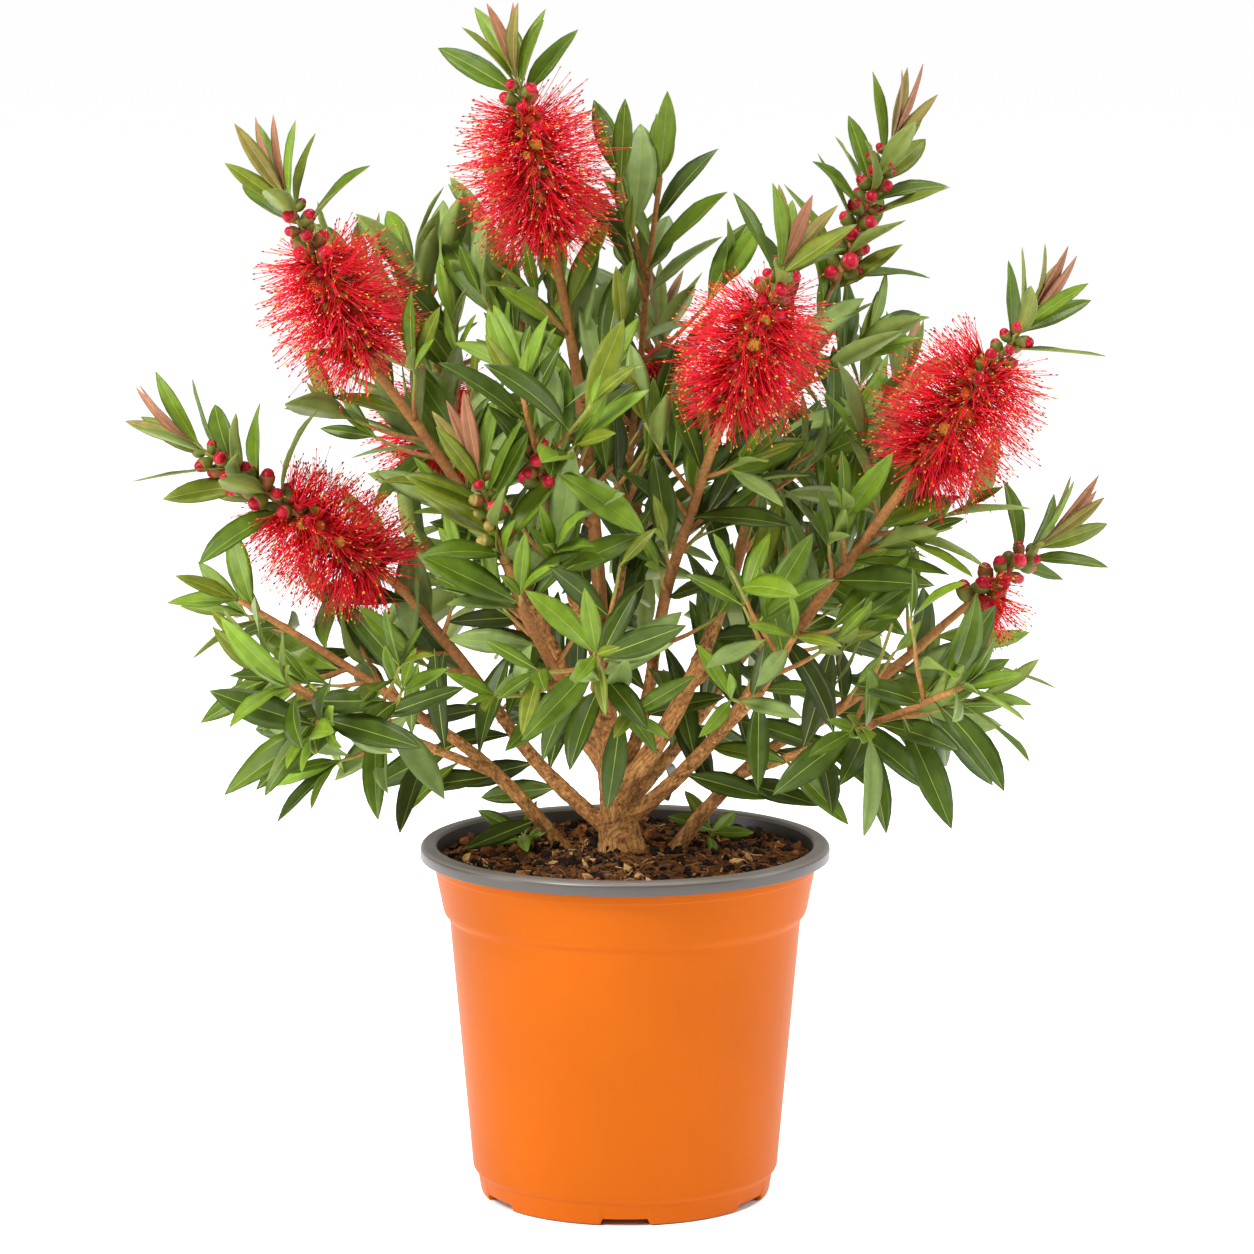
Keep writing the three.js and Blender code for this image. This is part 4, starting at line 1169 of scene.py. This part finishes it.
def leaves_on(path, shoot, seed, every):
    """Leaves turned by the golden angle along a twig, younger and closer to its tip."""
    count = max(3, round(path.length / every * shoot.fullness))
    for k in range(count + 1):
        t = LEAVES_FROM + (1 - LEAVES_FROM) * k / count
        youth = max(0, t - YOUNG_FROM) / (1 - YOUNG_FROM)
        spread = LEAF_SPREAD + (TIP_SPREAD + shoot.opening - LEAF_SPREAD) * youth
        spread += vary(seed, 220 + k, *LEAF_SPREADS)
        size = shoot.leaf_length * vary(seed, k, *LEAF_LENGTHS) * (1 - (1 - TIP_SHARE) * youth ** 2)
        turn = k * GOLDEN_TURN + 6 * chance(seed, 99) + 0.7 * chance(seed, 40 + k)
        tones = YOUNG_TONES if youth > 0.5 and chance(seed, 70 + k) < YOUNG_SHARE else OLD_TONES
        # inside the shaded core the leaves take darker greens as painted shade
        if np.linalg.norm(path.at(t) - SHADED_CORE) < SHADED_CORE_RADIUS:
            tones = SHADED_INNER_TONES
        share = LEAF_WIDTH_SHARE * vary(seed, 160 + k, *LEAF_WIDTHS)
        tone = choose(tones, seed, 130 + k)
        yield leaf_at(path, t, turn, spread, size, shoot.lift, share, seed + 7 * k, tone)


def tip_leaves(path, shoot, seed):
    """Small young leaves that close the end of a twig."""
    for k in range(TIP_LEAVES):
        spread = TIP_SPREAD - TIP_LEAF_CLOSER * k + shoot.opening * TIP_OPENING
        size = TIP_LEAF + TIP_LEAF_STEP * (chance(seed, k) - k)
        tone = choose(YOUNG_TONES, seed, 20 + k)
        yield leaf_at(path, 1.0, k * GOLDEN_TURN + seed, spread, size, shoot.lift / 2,
                      TIP_LEAF_WIDTH_SHARE, seed + k, tone)


def leaves_along(bough, start, every, seed):
    """Single leaves on the outer part of a bough, two rows that lean forward and down."""
    turns, spreads, sizes, widths = BOUGH_LEAF_RANGES
    count = round(bough.path.length * (1 - start) / every)
    for k in range(count):
        t = start + (1 - start) * (k + 0.5) / count
        turn = TAU / 4 + TAU / 2 * (k % 2) + vary(seed, k, *turns)
        spread = vary(seed, 20 + k, *spreads)
        size = LEAF_LENGTH * vary(seed, 40 + k, *sizes)
        share = LEAF_WIDTH_SHARE * vary(seed, 80 + k, *widths)
        # leaves along the boughs take darker greens as painted shade
        tone = choose(SHADED_INNER_TONES, seed, 60 + k)
        yield leaf_at(bough.path, t, turn, spread, size, 0, share, seed + 7 * k, tone)


def twig_from(path, t, turn, length):
    """Side twig that leaves a stem at a share of its length and rises at the end."""
    heading = path.heading(t)
    way = turned(heading, radial(heading, turn), TWIG_LEAN) * length
    rise = UP * length * TWIG_RISE
    foot = path.at(t)
    return Curve(foot, foot + way / 2 + rise / 4, foot + way + rise)


def twigs_of(shoot, spaces):
    """Side twigs by the crown's rule, then the finer ones between them."""
    seed = shoot.seed
    count = round(shoot.path.length / TWIG_EVERY)
    for k in range(count):
        t = TWIGS_FROM + TWIGS_OVER * k / count
        turn = k * GOLDEN_TURN + 6 * chance(seed, 7)
        twigs = [twig_from(shoot.path, t, turn, TWIG_LENGTH * vary(seed, 11 + k, *TWIG_LENGTHS))]
        if chance(seed, 400 + k) < 2 * shoot.fullness - 1:
            length = FINE_TWIG_LENGTH * vary(seed, 300 + k, *FINE_TWIG_LENGTHS)
            twigs.append(twig_from(shoot.path, t + FINE_TWIG_STEP / count, turn + FINE_TWIG_TURN, length))
        yield from (twig for twig in twigs if in_space(twig.tip, shoot.name, spaces))


def spike_leaves(flower, start, count):
    """Leaves that stand out between the buds of a twig."""
    for k in range(count):
        share = k / count
        t = start + (SPIKE_END - start) * share
        size = SPIKE_LEAF * (1 - 0.2 * share)
        yield leaf_at(flower.path, t, k * GOLDEN_TURN + 2, 1.05 - 0.35 * share, size, 0.1, 0.27,
                      flower.seed + 5 * k, SPIKE_TONES[k % len(SPIKE_TONES)])


def sprout_path(name):
    """Short stem that rises from the soil."""
    x, y = SPROUTS[name]
    foot = np.array([x, y, SOIL_LEVEL - 3])
    tip = foot + [0.12 * x, -4, SPROUT_HEIGHT]
    return Curve(foot, (foot + tip) / 2 + [0, 1, 0], tip)


def sprout_leaves(path, seed):
    """Small leaves low over the soil, round the top of a sprout."""
    for k in range(SPROUT_LEAVES):
        size = SPROUT_LEAF * vary(seed, 500 + k, 0.7, 1.2)
        yield leaf_at(path, 1 - 0.12 * k, k * GOLDEN_TURN, 1.15, size, 0.1, 0.3, seed + 9 * k,
                      SPIKE_TONES[k % len(SPIKE_TONES)])


def tuft_of(flower):
    """Young leaves round the end of a flowering twig, the last ones nearly in line with it."""
    for k in range(TUFT_LEAVES):
        share = k / (TUFT_LEAVES - 1)
        t = 1 - (1 - (flower.brush_to + flower.buds_to) / 2) * (1 - share) ** 1.5
        size = TUFT_LENGTH * (0.94 - 0.16 * share + 0.16 * chance(flower.seed, k))
        spread = TUFT_SPREAD + (TUFT_TIP_SPREAD - TUFT_SPREAD) * share ** 0.8
        late = share * 1.2 - 0.32 + 0.25 * chance(flower.seed, 60 + k)
        tone = TUFT_TONES[int(np.clip(late, 0, 0.99) * len(TUFT_TONES))]
        yield leaf_at(flower.path, t, k * GOLDEN_TURN + flower.seed, spread, size, 0.05,
                      0.27 - 0.11 * share, flower.seed + 3 * k, tone)


def leaf_halves():
    """Half width at each row of a leaf as a share of its greatest half width."""
    shares = np.clip((LEAF_ROWS - PETIOLE) / (1 - PETIOLE), 0, 1)
    lower = shares < LEAF_BELLY
    side = np.where(lower, LEAF_BELLY, 1 - LEAF_BELLY)
    return (1 - ((shares - LEAF_BELLY) / side) ** 2) ** np.where(lower, *LEAF_TAPERS)


def leaf_faces():
    """Quads of one leaf with 0, 1 or 2 for top, underside and rib."""
    each = len(LEAF_COLUMNS) + 2
    top = [(column, column + 1, 2 if column == 2 else 0) for column in range(5)]
    below = [(5, 7, 1), (7, 6, 2), (6, 0, 1)]
    quads, sorts = [], []
    for a in range(0, (len(LEAF_ROWS) - 1) * each, each):
        for left, right, sort in top + below:
            quads.append([a + left, a + each + left, a + each + right, a + right])
            sorts.append(sort if a else 2)
    cap = np.array([[0, 1, 2, 6], [2, 3, 7, 6], [3, 4, 5, 7]])
    last = (len(LEAF_ROWS) - 1) * each
    return np.concatenate([quads, cap, cap[:, ::-1] + last]), np.array(sorts + [0] * 6)


def add_leaves(batch, leaves):
    """All leaves of a piece at once, each a folded blade, its underside and its rib."""
    root, along, face, length, width, curl, fold, twist, tone = map(np.array, zip(*leaves))
    root, along, face = root[:, None], along[:, None], face[:, None]
    angle = curl[:, None] * LEAF_ROWS
    bend = (length / curl)[:, None]
    spine = root + (bend * np.sin(angle))[..., None] * along - (bend * (1 - np.cos(angle)))[..., None] * face
    normal = turned(face, along, angle)
    across = np.cross(face, along)
    turn = twist[:, None] * LEAF_ROWS
    across, normal = turned(across, normal, turn), turned(normal, -across, turn)
    half = np.maximum(leaf_halves() * width[:, None] / 2, LEAF_EDGE)
    half[:, :2] = PETIOLE_HALF
    rib = np.minimum(RIB_HALF * (RIB_FOOT - RIB_TAPER * LEAF_ROWS), half * RIB_SHARE)
    side = LEAF_COLUMNS * half[..., None]
    side[..., 2] = -rib
    side[..., 3] = rib
    swell = LEAF_SWELL * half[..., None] * (np.abs(LEAF_COLUMNS) == BELLY_COLUMN)
    wave = np.sin(LEAF_ROWS * WAVE_PITCH + (curl * WAVE_SHIFT)[:, None])[..., None] * half[..., None]
    rise = fold[:, None, None] * np.abs(side) + swell
    rise += LEAF_WAVE * wave * np.abs(LEAF_COLUMNS) * np.sign(LEAF_COLUMNS + 0.3)
    rise[..., 2:4] -= RIB_DEPTH
    top = spine[:, :, None] + side[..., None] * across[:, :, None] + rise[..., None] * normal[:, :, None]
    low = spine - np.minimum(LEAF_THICKNESS, half)[..., None] * normal
    rib = rib[..., None] * across
    points = np.concatenate([top, np.stack([low - rib, low + rib], axis=2)], axis=2)
    faces, sorts = leaf_faces()
    tones = np.array([[look(name) for name in names] for names in TONES.values()])
    batch.add(points.reshape(len(leaves), -1, 3), (faces, tones[tone][:, sorts]))


def add_stem(batch, path, wide, thin, sway, seed, names):
    """Stem with a slight natural sway, its looks named from its foot to its tip."""
    steps = max(4, round(path.length / 8))
    t = np.linspace(0, 1, steps + 1)
    off = sway * np.sin(t * 9 + 6 * chance(seed, 1)) * np.sin(t * math.pi)
    centres = path.at(t) + off[:, None] * square_to(path.heading(t))
    numbers = [look(names[int(share * len(names))]) for share in (t[:-1] + t[1:]) / 2]
    add_tubes(batch, centres[None], (wide + (thin - wide) * t)[None], 8, numbers)


# ---- flowers ----

def add_brush(batch, flower):
    """Florets in a spiral, each a small cup with a spray of stamens."""
    rng = np.random.default_rng(flower.seed)
    start = BRUSH_START / flower.path.length
    count = round((flower.brush_to - start) * flower.path.length / FLORET_EVERY)
    share = (np.arange(count) + 0.5) / count
    t = start + (flower.brush_to - start) * share
    heading = flower.path.heading(t)
    out = radial(heading, np.arange(count) * GOLDEN_TURN + rng.normal(size=count) * FLORET_JITTER)
    first, more = CUP_LEAN
    axes = turned(out, heading, first + more * share + LEAN_JITTER * rng.normal(size=count))
    base = flower.path.at(t) + out * CUP_STANDOFF
    reach = flower.radius * (BRUSH_FULL - (BRUSH_FULL - BRUSH_ENDS) * (2 * share - 1) ** 2)
    if flower.name in FLORET_SIDES:
        is_open = (out @ np.array(FLORET_SIDES[flower.name]) > 0.2) & (share > OPEN_FROM)
        base, axes, reach = base[is_open], axes[is_open], reach[is_open] * 1.5
    cups = pick(rng, CUP_LOOKS, len(base))
    inside = pick(rng, INSIDE_LOOKS, len(base))
    sizes = CUP_LENGTH * rng.uniform(*CUP_SIZES, len(base))
    add_turned(batch, base, axes, sizes, CUP, 8, np.stack([cups] * 3 + [inside] * 3, axis=-1))
    add_petals(batch, base + axes * CUP_LENGTH, axes, rng)
    add_stamens(batch, base + axes * CUP_LENGTH * 0.8, axes, reach, rng)


def add_petals(batch, rims, axes, rng):
    """Small petals round the mouth of each cup."""
    reach, rise = PETAL_FOOT
    for k in range(PETALS):
        out = radial(axes, k * TAU / PETALS + rng.random(len(rims)))
        ways = np.stack([unit(out + PETAL_RISE * axes), np.cross(axes, out), axes], axis=1)
        foot = rims + out * reach + axes * rise
        numbers = pick(rng, PETAL_LOOKS, (len(rims), 1))
        batch.add(foot[:, None] + np.array(PETAL) @ ways, (np.array(PETAL_FACES), numbers))


def add_stamens(batch, mouths, axes, reach, rng):
    """Sprays of bowed threads from the cups' mouths, each with its anther."""
    size = (len(mouths), STAMENS)
    order = np.arange(STAMENS)
    spread = np.sqrt((order + 0.5) / STAMENS)
    angle = order * GOLDEN_TURN + TAU * rng.random((len(mouths), 1))
    out = radial(axes[:, None], angle)
    first, more = STAMEN_CONE
    way = turned(axes[:, None], out, first + more * spread + CONE_JITTER * rng.normal(size=size))
    foot = mouths[:, None] + CUP_MOUTH * (0.8 + 0.2 * spread)[:, None] * out
    least, more = STAMEN_LENGTHS
    length = (reach - CUP_LENGTH - CUP_STANDOFF)[:, None] * (least + more * rng.random(size))
    bow = STAMEN_BOW * rng.normal(size=(*size, 3)) - STAMEN_SAG * UP + STAMEN_FLARE * out
    t = np.array(STAMEN_LINE)[:, None]
    lines = foot[:, :, None] + length[..., None, None] * (t * way[:, :, None] + t * t * bow[:, :, None])
    lines = lines.reshape(-1, 3, 3)
    total = len(lines)
    radii = np.broadcast_to(STAMEN_RADIUS * np.array(STAMEN_TAPER), (total, 3))
    looks = [pick(rng, INNER_LOOKS, total), pick(rng, OUTER_LOOKS, total)]
    add_tubes(batch, lines, radii, 3, np.stack(looks, axis=-1))
    anthers = pick(rng, ANTHER_LOOKS, (total, 1))
    ways = unit(lines[:, -1] - lines[:, -2])
    add_turned(batch, lines[:, -1], ways, ANTHER_SIZE, ANTHER, 3, anthers)


def add_buds(batch, path, start, end, seed, green_share):
    """Buds in a spiral, smaller towards the tip, each a red cap in its green cup."""
    count = round(path.length * (end - start) / BUD_EVERY)
    order = np.arange(count)
    caps, sizes, cups = (np.array([chance(seed, first + k) for k in order]) for first in (0, 90, 50))
    t = start + (end - start) * (order + 0.5) / count
    heading = path.heading(t)
    way = unit(radial(heading, order * GOLDEN_TURN + seed) + BUD_RISE * heading)
    least, more = BUD_SIZES
    size = BUD_RADIUS * (BUD_FIRST - BUD_TAPER * order / count)
    size *= (1 - YOUNG_SHRINK * green_share) * (least + more * sizes)
    centres = path.at(t) + way * (BUD_REACH * size + BUD_STEM)[:, None]
    red = np.where(caps < BUD_RED_SHARE, look("bud_red"), look("bud_pink"))
    red[caps < green_share] = look("bud_pale")
    green = np.where(cups < BUD_GREEN_SHARE, look("bud_green"), look("bud_brown"))
    add_turned(batch, centres, way, size, BUD, 10, np.stack([green] * 5 + [red] * 4, axis=-1))


def make_flower(flower):
    """Twig with its brush, if it has one, and its buds."""
    batch = Batch()
    add_stem(batch, flower.path, FLOWER_TWIG_RADIUS, FLOWER_TWIG_TIP, 0, flower.seed,
             ["twig_tan", "twig_tan", "twig_red", "twig_green"])
    start = flower.brush_to
    if flower.radius:
        add_brush(batch, flower)
        start -= BUD_OVERLAP / flower.path.length
    if flower.name in FLORET_SIDES:
        start = OPEN_BUDS_FROM
    add_buds(batch, flower.path, start, flower.buds_to, flower.seed, GREEN_BUDS.get(flower.name, 0))
    node = f"{'brush' if flower.radius else 'buds'}_{flower.name}"
    settle(batch.piece(f"flower_{flower.name}"), "blossom", node)


# ---- the plant ----

def obstacles_of(limbs, shoots, flowers):
    """Beads and their radii along everything that a leaf passes beside."""
    beads, radii = [], []
    for limb in limbs:
        t = np.linspace(0, 1, max(3, int(limb.path.length / 4)))
        beads.append(limb.path.at(t))
        radii.append(limb.radius(t))
    for shoot in shoots:
        beads.append(shoot.path.beads(4))
        radii.append(np.linspace(shoot.wide, shoot.thin, len(beads[-1])))
    first, last = BRUSH_SPAN
    for flower in flowers:
        if flower.radius:
            beads.append(flower.path.at(np.linspace(first, flower.brush_to * last, 12)))
            radii.append(np.full(12, flower.radius * BRUSH_CORE))
    return np.concatenate(beads), np.concatenate(radii)


def make_foliage(shoot, on_bough, spaces, solids, stems, twig_batch):
    """Leaves of a shoot, its twigs and its flower's tuft; the wood goes into the batch of twigs."""
    add_stem(twig_batch, shoot.path, shoot.wide, shoot.thin, STEM_SWAY, shoot.seed,
             ["twig_brown", "twig_brown", "twig_brown", "twig_tan"])
    leaves = list(leaves_on(shoot.path, shoot, shoot.seed, STEM_LEAF_EVERY))
    if not shoot.flower:
        leaves += tip_leaves(shoot.path, shoot, shoot.seed + 13)
    for number, twig in enumerate(twigs_of(shoot, spaces)):
        seed = shoot.seed + 31 * (number + 1)
        add_stem(twig_batch, twig, TWIG_RADIUS, TWIG_TIP_RADIUS, TWIG_SWAY, seed,
                 ["twig_brown", "twig_tan", "twig_green"])
        leaves += leaves_on(twig, shoot, seed, LEAF_EVERY)
        leaves += tip_leaves(twig, shoot, seed)
    kept = [
        leaf for leaf in leaves
        if in_space(leaf.spine([1.0])[0], shoot.name, spaces) and stays_clear(leaf, solids)
        and not hides_stem(leaf, stems)
    ]
    kept += [leaf for leaf in on_bough if stays_clear(leaf, solids)]
    if shoot.name in SPROUTS:
        path = sprout_path(shoot.name)
        add_stem(twig_batch, path, TWIG_TIP_RADIUS, SPROUT_TIP_RADIUS, 0, shoot.seed, ["twig_green"])
        kept += sprout_leaves(path, shoot.seed)
    if shoot.flower:
        kept += tuft_of(shoot.flower)
        kept += spike_leaves(shoot.flower, *SPIKE_LEAVES.get(shoot.name, (0, 0)))
    batch = Batch()
    add_leaves(batch, kept)
    if shoot.name in BUD_CLUSTERS:
        add_buds(batch, shoot.path, *BUD_CLUSTERS[shoot.name], shoot.seed, 0)
    settle(batch.piece(f"foliage_{shoot.name}"), "foliage", f"leaves_{shoot.name}")


def make_plant():
    trunk = Limb("trunk", Curve(*TRUNK), TRUNK_WIDE, TRUNK_THIN, FLARE)
    boughs = {name: Limb(name, Curve(*points), wide, thin) for name, *points, wide, thin in BOUGHS}
    shoots = {name: Shoot(index, boughs[name], *row) for index, (name, *row) in enumerate(SHOOTS)}
    flowers = [Flower(index, shoots[name], *row) for index, (name, *row) in enumerate(FLOWERS)]
    limbs = [trunk, *boughs.values()]
    make_bark(limbs)
    spaces = {name: (shoot.beads(), shoot.reach) for name, shoot in shoots.items()}
    solids = obstacles_of(limbs, shoots.values(), flowers)
    shown = np.linspace(SHOWN_FROM, 1, 24)
    stems = np.concatenate([shoots[name].path.at(shown) for name in OPEN_STEMS])
    on_boughs = {name: leaves_along(boughs[name], start, every, 700 + 50 * number)
                 for number, (name, start, every) in enumerate(BOUGH_LEAVES)}
    twig_batch = Batch()
    for name, shoot in shoots.items():
        make_foliage(shoot, on_boughs.get(name, ()), spaces, solids, stems, twig_batch)
    settle(twig_batch.piece("twigs"), "bark")
    for flower in flowers:
        make_flower(flower)


# ---- stage ----

def add_floor(name, rings, glow):
    """Flat ring of the pale floor between two radii, lit up by its own glow."""
    material, _, _ = blank_material(
        name, Roughness=0.9, Base_Color=(FLOOR_WHITE, FLOOR_WHITE, FLOOR_WHITE, 1),
        Emission_Color=(1, 1, 1, 1), Emission_Strength=glow)
    points = raised(polar(np.array(rings)[:, None], CIRCLE), FLOOR_LEVEL)
    plain_piece(name, points, band_faces(2, len(CIRCLE))[:, ::-1], material)


def add_light(name, place, size, power):
    """Soft square lamp that faces the plant."""
    data = bpy.data.lights.new(name, "AREA")
    data.size = size
    data.energy = power
    lamp = bpy.data.objects.new(name, data)
    lamp.location = place
    aim = Vector(LIGHT_AIM) - Vector(place)
    lamp.rotation_euler = aim.to_track_quat("-Z", "Y").to_euler()
    bpy.context.scene.collection.objects.link(lamp)


def make_stage():
    add_floor("floor", (SHADE_RADIUS, FLOOR_RADIUS), FLOOR_GLOW)
    add_floor("floor_below", (1, SHADE_RADIUS), 0)
    for row in LIGHTS:
        add_light(*row)
    world = bpy.data.worlds.new("studio")
    world.use_nodes = True
    background = world.node_tree.nodes["Background"]
    background.inputs["Color"].default_value = (1, 1, 1, 1)
    background.inputs["Strength"].default_value = WORLD_LIGHT
    scene = bpy.context.scene
    scene.world = world
    scene.view_settings.view_transform = "Standard"
    camera = bpy.data.objects.new("camera", bpy.data.cameras.new("camera"))
    camera.location = CAMERA_PLACE
    camera.rotation_euler = (math.pi / 2 - CAMERA_DOWN, 0, 0)
    camera.data.lens = CAMERA_LENS
    scene.collection.objects.link(camera)
    scene.camera = camera


finishes = [plant_material(name, *values) for name, values in FINISHES.items()]
make_stage()
make_pot()
make_rim()
make_soil()
make_crumbs()
make_plant()
